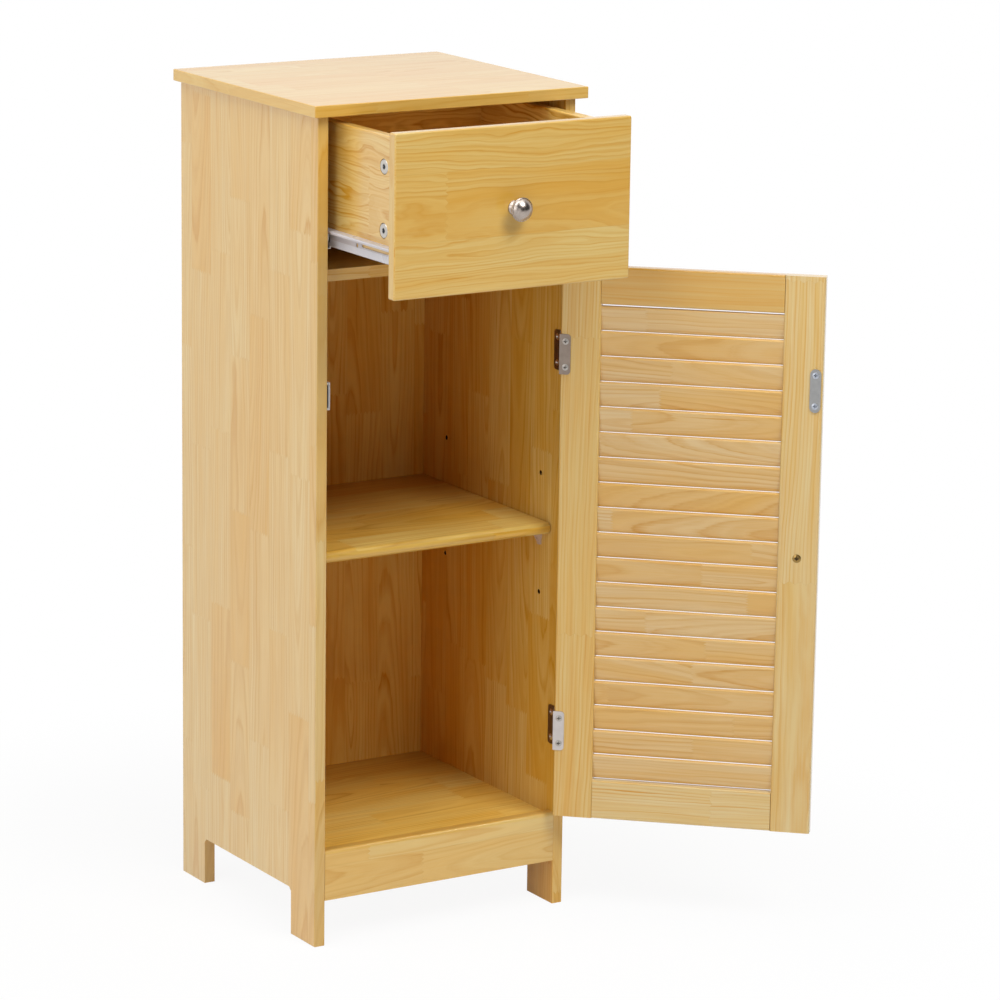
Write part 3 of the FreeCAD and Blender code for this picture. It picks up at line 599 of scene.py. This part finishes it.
def finish_surface(graph: Graph, shader: bpy.types.Node, effect: bpy.types.Node, depth: float,
                   colour: Socket | None = None) -> None:
    """Joins an effect's colour, roughness and height to a shader.

    Args:
        graph: the material's graph.
        shader: Principled shader.
        effect: group node with the three outputs.
        depth: height of the relief, in metres.
        colour: colour to use in place of the effect's own.
    """
    bump = graph.add("ShaderNodeBump")
    bump.inputs["Strength"].default_value = BUMP_STRENGTH
    bump.inputs["Distance"].default_value = depth
    graph.feed(bump.inputs["Height"], effect.outputs["Height"])
    graph.feed(shader.inputs["Base Color"], colour or effect.outputs["Color"])
    graph.feed(shader.inputs["Roughness"], effect.outputs["Roughness"])
    graph.feed(shader.inputs["Normal"], bump.outputs["Normal"])


def put_on(node: str, material: bpy.types.Material) -> None:
    """Gives a CAD node one material.

    Args:
        node: the node's name.
        material: what it wears.
    """
    slots = frame["nodes"][node].data.materials
    slots.clear()
    slots.append(material)
    log.info("%s wears %s", node, material.name)


@dataclass(frozen=True)
class Swing:
    """Turn of a body about an upright pin, from shut to the photographed place."""

    angle: float = 0.0
    pin: Point = (0.0, 0.0, 0.0)

    def matrix(self) -> Matrix:
        """Matrix that takes a point of the shut body to its place."""
        move = Matrix.Translation(Vector(self.pin))
        return move @ Matrix.Rotation(self.angle, 4, "Z") @ move.inverted()


@dataclass(frozen=True)
class Cupboard:
    """Inside of the cupboard: half its width, its floor, and where its painted shade starts and is full."""

    half_width: float = 0.1381
    floor: float = 0.09
    front: float = -0.11
    deep: float = 0.05


@dataclass(frozen=True)
class PineFinish:
    """Clear-lacquered pine of glued staves.

    Attributes:
        pale: colour of the palest stave.
        warm: colour of the warmest stave.
        line: colour of the late wood and the fibres.
        stave_width: width of a stave.
        stave_length: length of a stave.
        stave_shift: how far the staves are pushed across the board.
        ring_spacing: distance between growth rings.
        figure: how far the rings bend.
        waves: ripple of the rings, in rings.
        spread: difference of tone between staves.
        bands: difference of tone between bands of rings.
        contrast: strength of the dark lines.
        fibres: strength of fibres and flecks.
        gloss: roughness of the wood.
        coat: weight of the lacquer.
        coat_gloss: roughness of the lacquer.
        specular: shine of the wood under the lacquer.
        relief: height of the grain's relief.
        inside: share of the cupboard's painted shade that the board takes.
        inside_shade_tint: tint of that painted shade.
        inside_dull: share of the lacquer that it takes away.
        hole_shade_tint: colour painted in the holes of a wall as their shade.
        cupboard: where the inside is.
        sill: height above which the lacquer is worn off, or 0 for none.
        nose: where the tint of a front edge starts to fade and ends, or twice 0 for none.
        nose_tint: tint of that edge.
    """

    pale: Colour = screen(222, 192, 117)
    warm: Colour = screen(218, 167, 68)
    line: Colour = screen(200, 140, 5)
    stave_width: float = 0.042
    stave_length: float = 0.2
    stave_shift: float = 0.0
    ring_spacing: float = 0.0038
    figure: float = 0.016
    waves: float = 0.8
    spread: float = 0.7
    bands: float = 0.95
    contrast: float = 0.75
    fibres: float = 0.8
    gloss: float = 0.36
    coat: float = 1.0
    coat_gloss: float = 0.22
    specular: float = 0.5
    relief: float = 0.00012
    inside: float = 0.0
    inside_shade_tint: Colour = (0.97, 0.8, 0.54, 1.0)
    inside_dull: float = 0.8
    hole_shade_tint: Colour = screen(62, 36, 14)
    cupboard: Cupboard = Cupboard()
    sill: float = 0.0
    nose: tuple[float, float] = (0.0, 0.0)
    nose_tint: Colour = (0.68, 0.63, 0.55, 1.0)

    def material(self, name: str, along: Axis, across: Axis, seed: float, swing: Swing) -> bpy.types.Material:
        """Material of one board.

        Args:
            name: the board's name.
            along: direction of the grain with the body shut.
            across: direction of the board's width.
            seed: number that makes the board's pattern its own.
            swing: turn of the body that carries the board.

        Returns:
            The material.
        """
        material, graph, shader = blank_material(f"pine_{name}")
        turn = swing.matrix().to_3x3()
        first = turn @ Vector(along.value)
        second = turn @ Vector(across.value)
        rotation = Matrix((first, second, first.cross(second)))
        place = graph.add("ShaderNodeTexCoord")
        spot = graph.add("ShaderNodeMapping", vector_type="POINT")
        spot.inputs["Rotation"].default_value = rotation.to_euler("XYZ")
        spot.inputs["Location"].default_value = -(rotation @ Vector(swing.pin))
        graph.feed(spot.inputs["Vector"], place.outputs["Object"])
        facing = graph.add("ShaderNodeMapping", vector_type="VECTOR")
        facing.inputs["Rotation"].default_value = rotation.to_euler("XYZ")
        graph.feed(facing.inputs["Vector"], place.outputs["Normal"])
        staves = PineStaves.place(
            graph, Vector=spot.outputs[0], Normal=facing.outputs[0], Seed=seed, Stave_Width=self.stave_width,
            Stave_Length=self.stave_length, Stave_Shift=self.stave_shift, Ring_Spacing=self.ring_spacing,
            Figure=self.figure, Waves=self.waves, Spread=self.spread, Bands=self.bands,
            Contrast=self.contrast, Fibres=self.fibres, Pale=self.pale, Warm=self.warm, Line=self.line,
            Gloss=self.gloss)
        shader.inputs["Coat Weight"].default_value = self.coat
        shader.inputs["Coat Roughness"].default_value = self.coat_gloss
        shader.inputs["Specular IOR Level"].default_value = self.specular
        colour = staves.outputs["Color"]
        dull = None
        # painted shade: darker and duller towards the back of the cupboard and below its floor, and a dark
        # colour painted in the holes of a wall as their shade
        if self.inside:
            room = self.cupboard
            depth = PaintedCupboardShade.place(graph, Vector=place.outputs["Object"], Half_Width=room.half_width,
                                        Low=room.floor, Front=room.front, Deep=room.deep)
            share = graph.fit(depth.outputs["Mask"], self.inside, 0)
            colour = graph.tint(share, colour, self.inside_shade_tint, "MULTIPLY")
            colour = graph.tint(depth.outputs["Hole"], colour, self.hole_shade_tint)
            dull = graph.fit(share, self.inside_dull, 0)
        _, y, z = graph.split(place.outputs["Object"])
        if self.sill:
            dull = graph.math("GREATER_THAN", z, self.sill)
        edge_start, edge_end = self.nose
        if edge_end > edge_start:
            behind = graph.ease(y, edge_start, edge_end)
            colour = graph.tint(behind, graph.tint(1.0, colour, self.nose_tint, "MULTIPLY"), colour)
        if dull:
            graph.feed(shader.inputs["Coat Weight"], graph.fit(dull, -self.coat, self.coat))
        finish_surface(graph, shader, staves, self.relief, colour)
        return material


@dataclass(frozen=True)
class MetalFinish:
    """Plated or bare metal."""

    tint: Colour
    dull: Colour
    gloss: float
    smudge: float = 0.15
    relief: float = 0.00002
    recess_shades: tuple[Point, ...] = ()
    recess_shade_radius: float = 0.0016
    recess_shade_blur: float = 0.3
    recess_shade_tint: Colour = screen(52, 56, 62)

    def material(self, name: str) -> bpy.types.Material:
        """Material of a metal piece, with a dark spot painted in each driver recess as its shade.

        Args:
            name: the material's name.

        Returns:
            The material.
        """
        material, graph, shader = blank_material(name)
        place = graph.add("ShaderNodeTexCoord")
        metal = PlatedMetal.place(graph, Vector=place.outputs["Object"], Tint=self.tint, Dull=self.dull,
                                  Gloss=self.gloss, Smudge=self.smudge)
        colour = metal.outputs["Color"]
        # painted shade: a dark spot over each driver recess
        for shaded_recess in self.recess_shades:
            away = graph.add("ShaderNodeVectorMath", operation="DISTANCE")
            graph.feed(away.inputs[0], place.outputs["Object"])
            away.inputs[1].default_value = shaded_recess
            clear = graph.ease(away.outputs["Value"], self.recess_shade_radius * (1 - self.recess_shade_blur),
                               self.recess_shade_radius * (1 + self.recess_shade_blur))
            colour = graph.tint(clear, self.recess_shade_tint, colour)
        finish_surface(graph, shader, metal, self.relief, colour)
        shader.inputs["Metallic"].default_value = 1.0
        return material


@dataclass(frozen=True)
class CoatedFinish:
    """Powder-coated steel or moulded plastic, with a painted shade between the two heights of its web."""

    tint: Colour
    shade: Colour
    gloss: float
    peel: float = 1.0
    relief: float = 0.00004
    shaded_web: tuple[float, float] = (0.0, 0.0)
    web_shade_tint: Colour = screen(236, 231, 228)

    def material(self, name: str) -> bpy.types.Material:
        """Material of a coated or moulded piece.

        Args:
            name: the material's name.

        Returns:
            The material.
        """
        material, graph, shader = blank_material(name)
        place = graph.add("ShaderNodeTexCoord")
        coat = CoatedSurface.place(graph, Vector=place.outputs["Object"], Tint=self.tint, Shade=self.shade,
                                   Gloss=self.gloss, Peel=self.peel)
        low, high = self.shaded_web
        colour = coat.outputs["Color"]
        # painted shade: the middle of the web darker than the rest of the piece
        if high > low:
            height = graph.split(place.outputs["Object"])[2]
            middle = graph.math("COMPARE", height, (low + high) / 2, (high - low) / 2)
            colour = graph.tint(middle, colour, self.web_shade_tint, "MULTIPLY")
        finish_surface(graph, shader, coat, self.relief, colour)
        return material


DOOR_SWING = Swing(math.radians(137.1), (0.1365, -0.1425, 0.0))


def on_open_door(*shut: Point) -> tuple[Point, ...]:
    """Places on the open door.

    Args:
        shut: places with the door shut.

    Returns:
        The places after the door's swing.
    """
    return tuple(tuple(DOOR_SWING.matrix() @ Vector(place)) for place in shut)


HINGE_HEIGHTS = (0.1825, 0.2095, 0.5835, 0.6105)
# places of driver recesses that get a painted shade
HINGE_RECESS_SHADES = on_open_door(*((0.1297, -0.1268, z) for z in HINGE_HEIGHTS))
STRIKE_RECESS_SHADES = on_open_door((-0.1285, -0.1266, 0.5567), (-0.1285, -0.1266, 0.5887))
KNOB_SCREW_RECESS_SHADES = on_open_door((-0.1145, -0.1274, 0.3965))
CAM_RECESS_SHADES = tuple((x, -0.227, z) for x in (-0.1255, 0.1255) for z in (0.756, 0.819))

FITTING_FINISHES: dict[str, MetalFinish | CoatedFinish] = {
    "zinc": MetalFinish(screen(172, 172, 171), screen(150, 150, 150), 0.34),
    "satin_nickel": MetalFinish(screen(156, 142, 131), screen(134, 120, 109), 0.38),
    "bright_nickel": MetalFinish(screen(187, 175, 166), screen(158, 146, 138), 0.28, 0.06),
    "yellow_zinc": MetalFinish(screen(178, 146, 88), screen(128, 100, 52), 0.3, recess_shades=KNOB_SCREW_RECESS_SHADES),
    "axle_steel": MetalFinish(screen(178, 180, 183), screen(140, 142, 146), 0.4),
    "white_enamel": CoatedFinish(screen(210, 206, 205), screen(196, 191, 190), 0.3),
    "roller_nylon": CoatedFinish(screen(236, 234, 226), screen(226, 222, 212), 0.48),
    "white_plastic": CoatedFinish(screen(232, 231, 228), screen(220, 219, 214), 0.42, 0.6),
    "magnet": CoatedFinish(screen(52, 52, 54), screen(36, 36, 38), 0.55),
    "beech_dowel": CoatedFinish(screen(206, 170, 124), screen(186, 148, 102), 0.7),
}
HINGE_SCREW_ZINC = MetalFinish(screen(192, 187, 181), screen(166, 161, 155), 0.45, recess_shades=HINGE_RECESS_SHADES,
                               recess_shade_radius=0.0009, recess_shade_tint=screen(84, 80, 78))
BLUE_ZINC = MetalFinish(screen(198, 203, 212), screen(170, 176, 187), 0.42, recess_shades=STRIKE_RECESS_SHADES,
                        recess_shade_radius=0.0009, recess_shade_tint=screen(84, 88, 96))
CAM_ZINC = MetalFinish(screen(198, 194, 188), screen(170, 166, 160), 0.34, recess_shades=CAM_RECESS_SHADES,
                       recess_shade_radius=0.0026)
PALE_NICKEL = MetalFinish(screen(212, 205, 202), screen(196, 189, 186), 0.45)
WHITE_ZINC = MetalFinish(screen(240, 236, 232), screen(226, 222, 218), 0.3)
RUNNER_ENAMEL = CoatedFinish(screen(215, 213, 217), screen(203, 200, 204), 0.3, shaded_web=(0.7318, 0.7412))
CLEAR_NYLON = CoatedFinish(screen(206, 182, 164), screen(188, 162, 142), 0.3, 0.6)
PIECE_FINISHES: dict[str, MetalFinish | CoatedFinish] = {
    "hinge_door_screws": HINGE_SCREW_ZINC, "hinge_frame_screws": WHITE_ZINC,
    "lower_hinge_door_leaf": PALE_NICKEL, "drawer_cam_discs": CAM_ZINC, "strike_screws": BLUE_ZINC,
    "shelf_pins": CLEAR_NYLON, "left_drawer_runner": RUNNER_ENAMEL, "right_drawer_runner": RUNNER_ENAMEL,
}


def dress_fittings() -> None:
    """Gives every piece that is not a pine board its own finish or that of its record slot."""
    made: dict[str, bpy.types.Material] = {}
    for piece in frame["record"]["subparts"]:
        node, slot = piece["node"], piece["material_slot"]
        if node in PIECE_FINISHES:
            put_on(node, PIECE_FINISHES[node].material(f"{slot}_of_{node}"))
        elif slot in FITTING_FINISHES:
            if slot not in made:
                made[slot] = FITTING_FINISHES[slot].material(slot)
            put_on(node, made[slot])


@dataclass(frozen=True)
class Board:
    """A pine board: which way its grain and its width run."""

    node: str
    along: Axis
    across: Axis
    seed: float
    finish: PineFinish

    def dress(self, swing: Swing) -> None:
        """Gives the board its own pine.

        Args:
            swing: turn of the body that carries the board.
        """
        put_on(self.node, self.finish.material(self.node, self.along, self.across, self.seed, swing))


@dataclass
class BoardGroup:
    """Boards of one body, and the body's turn from shut to the photographed place."""

    swing: Swing = Swing()
    boards: tuple[Board, ...] = ()

    def dress(self) -> None:
        """Dresses the boards along the body's own directions."""
        for board in self.boards:
            board.dress(self.swing)


PANEL_PINE = PineFinish()
TOP_PINE = PineFinish(pale=screen(222, 187, 104), coat=0.78)
# boards of the cupboard: inside=1.0 gives them the painted shade towards the back
WALL_PINE = PineFinish(pale=screen(223, 193, 127), contrast=0.9, inside=1.0, nose=(-0.1402, -0.137),
                       inside_shade_tint=(0.96, 0.76, 0.44, 1.0), nose_tint=(0.9, 0.93, 0.98, 1.0))
DIVIDER_PINE = replace(WALL_PINE, specular=0.15)
INNER_PINE = PineFinish(pale=screen(229, 197, 122), contrast=1.05, bands=1.4, spread=0.9, specular=0.15,
                        inside=1.0, cupboard=Cupboard(front=-0.09))
# bottom and shelf: pale and warm lifted above the wood's own as painted light at the front, with a strong
# painted shade towards the back
BOTTOM_PINE = replace(INNER_PINE, pale=screen(254, 226, 134), warm=screen(250, 200, 84), contrast=0.7,
                      inside_shade_tint=(0.5, 0.37, 0.22, 1.0), cupboard=Cupboard(front=-0.06, deep=0.1))
SHELF_PINE = replace(BOTTOM_PINE, inside_shade_tint=(0.55, 0.42, 0.26, 1.0), nose=(-0.127, -0.117),
                     cupboard=Cupboard(front=-0.025, deep=0.1))
BOLD_PINE = PineFinish(pale=screen(217, 187, 111), warm=screen(213, 162, 61), stave_width=0.068,
                       stave_length=0.5, ring_spacing=0.0042, figure=0.05, waves=1.9, contrast=0.95,
                       fibres=0.7, bands=1.5, spread=0.3)
WAVY_PINE = replace(BOLD_PINE, pale=screen(224, 198, 127), warm=screen(220, 172, 80), figure=0.08, waves=3.0,
                    bands=1.0, contrast=1.3)
DRAWER_PINE = replace(WAVY_PINE, pale=screen(250, 222, 146), warm=screen(246, 198, 98))
FRAME_PINE = PineFinish(pale=screen(215, 185, 111), warm=screen(211, 163, 66), stave_width=0.1,
                        stave_length=0.4, ring_spacing=0.0034, bands=1.8, spread=0.4, contrast=1.05)
PALE_FRAME_PINE = replace(FRAME_PINE, pale=screen(215, 193, 138), warm=screen(211, 173, 92), contrast=0.9)
SILL_PINE = replace(PALE_FRAME_PINE, sill=0.1438)
RAIL_PINE = replace(FRAME_PINE, pale=screen(206, 169, 91), warm=screen(202, 150, 56), contrast=0.95)
SLAT_PINE = PineFinish(pale=screen(219, 191, 138), stave_width=0.0265, stave_length=0.3, stave_shift=-0.146,
                       ring_spacing=0.0034, figure=0.014, contrast=0.85, spread=0.5)


@dataclass
class Carcass(BoardGroup):
    """Top, sides, bottom, divider, plinth, back and shelf."""

    boards: tuple[Board, ...] = (
        Board("top_panel", Axis.X, Axis.Y, 1.0, TOP_PINE),
        Board("left_side_panel", Axis.Z, Axis.Y, 2.0, WALL_PINE),
        Board("right_side_panel", Axis.Z, Axis.Y, 3.0, INNER_PINE),
        Board("bottom_panel", Axis.X, Axis.Y, 4.0, BOTTOM_PINE),
        Board("divider_panel", Axis.X, Axis.Y, 5.0, DIVIDER_PINE),
        Board("back_panel", Axis.Z, Axis.X, 6.0, INNER_PINE),
        Board("plinth_board", Axis.X, Axis.Z, 7.0, PANEL_PINE),
        Board("adjustable_shelf", Axis.X, Axis.Y, 8.0, SHELF_PINE),
    )


@dataclass
class MushroomKnob:
    """Turned knob with a foot, a waist, a rim and a domed head."""

    foot_radius: float = 0.0075
    foot_height: float = 0.0014
    waist_radius: float = 0.0052
    head_radius: float = 0.012
    rim_low: float = 0.0136
    rim_height: float = 0.0022
    step: float = 0.0009
    rim_round: float = 0.0005
    height: float = 0.022
    segments: int = 72
    flare_shares: tuple[float, ...] = (0.12, 0.25, 0.4, 0.55, 0.7, 0.82, 0.92, 1.0)
    dome_shares: tuple[float, ...] = (0.88, 0.76, 0.64, 0.52, 0.4, 0.28, 0.16, 0.05)
    edge_round: float = 0.00025
    edge_angle: float = math.radians(30)
    smooth_angle: float = math.radians(35)

    def profile(self) -> list[tuple[float, float]]:
        """Radius and height of each ring, from the foot to the crown.

        Returns:
            Pairs of radius and height.
        """
        cap = self.head_radius - self.step
        rings = [(self.foot_radius, 0.0), (self.foot_radius, self.foot_height)]
        flare_top = self.rim_low - self.step
        for share in self.flare_shares:
            ends = self.foot_radius + (cap - self.foot_radius) * share
            sag = 1 - (2 * share - 1) ** 2
            middle = (self.foot_radius + cap) / 2
            rings.append((ends - (middle - self.waist_radius) * sag,
                          self.foot_height + (flare_top - self.foot_height) * share))
        rim_top = self.rim_low + self.rim_height
        edge = self.head_radius - self.rim_round
        rings += [(edge, self.rim_low - self.rim_round), (self.head_radius, self.rim_low),
                  (self.head_radius, rim_top - 2 * self.rim_round), (edge, rim_top - self.rim_round),
                  (cap, rim_top - self.rim_round), (cap, rim_top)]
        dome = self.height - rim_top
        ball = (cap ** 2 + dome ** 2) / (2 * dome)
        spread = math.asin(cap / ball)
        for share in self.dome_shares:
            turn = spread * share
            rings.append((ball * math.sin(turn), self.height - ball * (1 - math.cos(turn))))
        return rings

    def build(self, name: str, node: str, body: str, place: Point, swing: Swing) -> None:
        """Models the knob ring by ring and puts it on its front.

        Args:
            name: the new piece's name.
            node: CAD knob that it stands for.
            body: body that carries it.
            place: middle of its foot on the front of the shut body.
            swing: turn of that body.
        """
        rings = self.profile()
        bpy.ops.object.select_all(action="DESELECT")
        bpy.ops.mesh.primitive_circle_add(vertices=self.segments, radius=rings[0][0], fill_type="NGON")
        knob = bpy.context.object
        knob.name = name
        bpy.ops.object.mode_set(mode="EDIT")
        bpy.ops.mesh.select_all(action="SELECT")
        for (radius, low), (next_radius, high) in zip(rings, rings[1:]):
            bpy.ops.mesh.extrude_region_move(TRANSFORM_OT_translate={"value": (0, 0, high - low)})
            ratio = next_radius / radius
            bpy.ops.transform.resize(value=(ratio, ratio, 1), center_override=(0, 0, high))
        bpy.ops.mesh.select_all(action="SELECT")
        bpy.ops.mesh.normals_make_consistent(inside=False)
        bpy.ops.object.mode_set(mode="OBJECT")
        soften = knob.modifiers.new("soft_edges", "BEVEL")
        soften.width = self.edge_round
        soften.segments = 2
        soften.limit_method = "ANGLE"
        soften.angle_limit = self.edge_angle
        bpy.ops.object.modifier_apply(modifier=soften.name)
        forwards = Matrix.Translation(place) @ Matrix.Rotation(math.radians(90), 4, "X")
        knob.matrix_world = swing.matrix() @ forwards
        bpy.ops.object.transform_apply(location=True, rotation=True, scale=True)
        bpy.ops.object.shade_smooth_by_angle(angle=self.smooth_angle)
        knob.data.materials.append(frame["nodes"][node].data.materials[0])
        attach(knob, body)
        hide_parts(node)
        log.info("%s built on %s", name, body)


@dataclass
class Drawer(BoardGroup):
    """Drawer box with its front and its knob."""

    knob_seat: Point = (0.0, -0.266, 0.77525)
    boards: tuple[Board, ...] = (
        Board("drawer_front", Axis.X, Axis.Z, 11.0, BOLD_PINE),
        Board("drawer_left_side", Axis.Y, Axis.Z, 12.0, WAVY_PINE),
        Board("drawer_right_side", Axis.Y, Axis.Z, 13.0, DRAWER_PINE),
        Board("drawer_back", Axis.X, Axis.Z, 14.0, DRAWER_PINE),
        Board("drawer_bottom", Axis.X, Axis.Y, 15.0, PANEL_PINE),
    )

    def build_knob(self) -> None:
        """Puts the knob in the middle of the drawer's front."""
        MushroomKnob().build("turned_drawer_knob", "drawer_knob", "drawer", self.knob_seat, self.swing)


@dataclass
class LouvredDoor(BoardGroup):
    """Stiles, rails, louvre slats and the door's knob."""

    swing: Swing = DOOR_SWING
    knob_seat: Point = (-0.1145, -0.14, 0.3965)
    boards: tuple[Board, ...] = (
        Board("door_hinge_stile", Axis.Z, Axis.X, 21.0, FRAME_PINE),
        Board("door_free_stile", Axis.Z, Axis.X, 22.0, PALE_FRAME_PINE),
        Board("door_top_rail", Axis.X, Axis.Z, 23.0, RAIL_PINE),
        Board("door_bottom_rail", Axis.X, Axis.Z, 24.0, SILL_PINE),
        Board("louvre_slats", Axis.X, Axis.Z, 25.0, SLAT_PINE),
    )

    def build_knob(self) -> None:
        """Puts the knob on the front of the free stile."""
        MushroomKnob().build("turned_door_knob", "door_knob", "door", self.knob_seat, self.swing)


@dataclass(frozen=True)
class Softbox:
    """Square studio lamp aimed at a point."""

    name: str
    place: Point
    size: float
    power: float

    def hang(self, aim: Point) -> None:
        """Adds the lamp to the scene.

        Args:
            aim: point that it shines at.
        """
        data = bpy.data.lights.new(self.name, "AREA")
        data.shape = "SQUARE"
        data.size = self.size
        data.energy = self.power
        lamp = bpy.data.objects.new(self.name, data)
        lamp.location = self.place
        lamp.rotation_euler = (Vector(aim) - Vector(self.place)).to_track_quat("-Z", "Y").to_euler()
        bpy.context.scene.collection.objects.link(lamp)


@dataclass
class Studio:
    """Pale floor, soft lamps, white surround, a dark end behind the camera, and the camera.

    Attributes:
        floor_size: length of the floor's sides.
        floor_drop: how far the floor lies below the feet.
        floor_tint: colour of the floor.
        fade_start: distance from the middle at which the shadow starts to fade.
        fade_end: distance at which it is gone.
        least_white: share of plain white under the cabinet.
        matt: roughness of the floor and the dark wall.
        wall_width: width of the dark wall.
        wall_height: height of the dark wall.
        wall_place: its place from front to back.
        wall_tint: its colour.
        surround: strength of the white surround as a light.
        aim: point that the lamps shine at.
        lamps: the lamps.
        camera_place: place of the camera.
        yaw: its turn about the upright.
        pitch: its tilt upwards.
        roll: its lean.
        lens: its focal length in millimetres.
        sensor: its sensor's width in millimetres.
        far: how far it sees.
    """

    floor_size: float = 40.0
    floor_drop: float = 0.0002
    floor_tint: Colour = (0.9, 0.9, 0.9, 1.0)
    fade_start: float = 0.25
    fade_end: float = 0.8
    least_white: float = 0.92
    matt: float = 0.9
    wall_width: float = 30.0
    wall_height: float = 14.0
    wall_place: float = -4.1
    wall_tint: Colour = (0.02, 0.02, 0.02, 1.0)
    surround: float = 0.02
    aim: Point = (0.0, -0.1, 0.45)
    lamps: tuple[Softbox, ...] = (
        Softbox("over_front", (0.2, -1.4, 3.0), 1.8, 20.8),
        Softbox("front_high", (0.3, -2.2, 2.75), 1.2, 45.3),
        Softbox("over_left", (-1.4, -0.3, 2.8), 1.8, 33.1),
        Softbox("left_back", (-2.4, 1.6, 1.3), 1.6, 18.1),
        Softbox("left_front", (-3.0, -1.4, 1.5), 1.8, 22.3),
        Softbox("low_left", (-1.6, -3.0, 0.8), 1.4, 6.2),
        Softbox("right_back", (3.0, 1.6, 1.3), 1.8, 22.0),
    )
    camera_place: Point = (-2.258515, -3.887909, 1.490422)
    yaw: float = math.radians(31.8104)
    pitch: float = math.radians(-13.3076)
    roll: float = math.radians(0.8127)
    lens: float = 158.789
    sensor: float = 36.0
    far: float = 100.0

    def lay_floor(self) -> None:
        """Lays the floor: white to the camera, with a share of the object's shadow."""
        bpy.ops.object.select_all(action="DESELECT")
        bpy.ops.mesh.primitive_plane_add(size=self.floor_size, location=(0, 0, -self.floor_drop))
        floor = bpy.context.object
        floor.name = "studio_floor"
        material, graph, shader = blank_material("studio_floor")
        shader.inputs["Base Color"].default_value = self.floor_tint
        shader.inputs["Roughness"].default_value = self.matt
        shader.inputs["Specular IOR Level"].default_value = 0.0
        place = graph.add("ShaderNodeTexCoord")
        reach = graph.add("ShaderNodeVectorMath", operation="LENGTH")
        graph.feed(reach.inputs[0], place.outputs["Object"])
        share = graph.add("ShaderNodeMapRange", interpolation_type="SMOOTHSTEP")
        graph.feed(share.inputs["Value"], reach.outputs["Value"])
        for label, value in (("From Min", self.fade_start), ("From Max", self.fade_end),
                             ("To Min", self.least_white), ("To Max", 1.0)):
            share.inputs[label].default_value = value
        glow = graph.add("ShaderNodeEmission")
        seen = self.mix(graph, share.outputs["Result"], shader, glow)
        choose = self.mix(graph, self.looked_at(graph), shader, seen)
        graph.feed(material.node_tree.nodes["Material Output"].inputs["Surface"], choose.outputs[0])
        floor.data.materials.append(material)

    def stand_dark_wall(self) -> None:
        """Stands the dark end of the studio behind the camera, where only reflections show it."""
        bpy.ops.object.select_all(action="DESELECT")
        bpy.ops.mesh.primitive_plane_add(size=1.0)
        wall = bpy.context.object
        wall.name = "studio_dark_wall"
        size = Matrix.Diagonal((self.wall_width, self.wall_height, 1.0, 1.0))
        upright = Matrix.Rotation(math.radians(90), 4, "X") @ size
        wall.matrix_world = Matrix.Translation((0.0, self.wall_place, self.wall_height / 2)) @ upright
        bpy.ops.object.transform_apply(location=True, rotation=True, scale=True)
        material, _, shader = blank_material("studio_dark_wall")
        shader.inputs["Base Color"].default_value = self.wall_tint
        shader.inputs["Roughness"].default_value = self.matt
        wall.data.materials.append(material)
        wall.visible_camera = False

    @staticmethod
    def mix(graph: Graph, share: Socket, first: bpy.types.Node, second: bpy.types.Node) -> bpy.types.Node:
        """Shader between two others.

        Args:
            graph: the floor's graph.
            share: 0 gives the first and 1 the second.
            first: first shader.
            second: second shader.

        Returns:
            The mixing node.
        """
        node = graph.add("ShaderNodeMixShader")
        for socket, output in zip(node.inputs, (share, first.outputs[0], second.outputs[0])):
            graph.feed(socket, output)
        return node

    @staticmethod
    def looked_at(graph: Graph) -> Socket:
        """Mask of rays from the camera, from gloss and through glass.

        Args:
            graph: graph of the floor or the world.

        Returns:
            Socket that is 1 for such rays.
        """
        path = graph.add("ShaderNodeLightPath")
        shiny = graph.math("MAXIMUM", path.outputs["Is Glossy Ray"], path.outputs["Is Transmission Ray"])
        return graph.math("MAXIMUM", path.outputs["Is Camera Ray"], shiny)

    def light(self) -> None:
        """Hangs the lamps and sets the surround."""
        for lamp in self.lamps:
            lamp.hang(self.aim)
        world = bpy.data.worlds.new("surround")
        world.use_nodes = True
        graph = Graph(world.node_tree)
        background = world.node_tree.nodes["Background"]
        background.inputs["Color"].default_value = WHITE
        graph.feed(background.inputs["Strength"], graph.between(self.looked_at(graph), self.surround, 1.0))
        bpy.context.scene.world = world

    def set_camera(self) -> None:
        """Stands the camera where the photograph was taken."""
        level = math.cos(self.pitch)
        forwards = Vector((math.sin(self.yaw) * level, math.cos(self.yaw) * level, math.sin(self.pitch)))
        right = Vector((math.cos(self.yaw), -math.sin(self.yaw), 0.0))
        up = right.cross(forwards)
        tilted_right = right * math.cos(self.roll) + up * math.sin(self.roll)
        tilted_up = up * math.cos(self.roll) - right * math.sin(self.roll)
        axes = Matrix((tilted_right, tilted_up, -forwards)).transposed().to_4x4()
        data = bpy.data.cameras.new("camera")
        data.lens = self.lens
        data.sensor_width = self.sensor
        data.clip_end = self.far
        camera = bpy.data.objects.new("camera", data)
        camera.matrix_world = Matrix.Translation(self.camera_place) @ axes
        bpy.context.scene.collection.objects.link(camera)
        bpy.context.scene.camera = camera

    def set_up(self) -> None:
        """Makes the whole studio."""
        self.lay_floor()
        self.stand_dark_wall()
        self.light()
        self.set_camera()
        bpy.context.scene.view_settings.view_transform = "Standard"


def main() -> None:
    """Dresses the cabinet, builds its knobs and sets up the studio."""
    logging.basicConfig(level=logging.INFO, format="%(message)s")
    dress_fittings()
    Carcass().dress()
    drawer = Drawer()
    drawer.dress()
    drawer.build_knob()
    door = LouvredDoor()
    door.dress()
    door.build_knob()
    Studio().set_up()


if __name__ == "__main__":
    main()
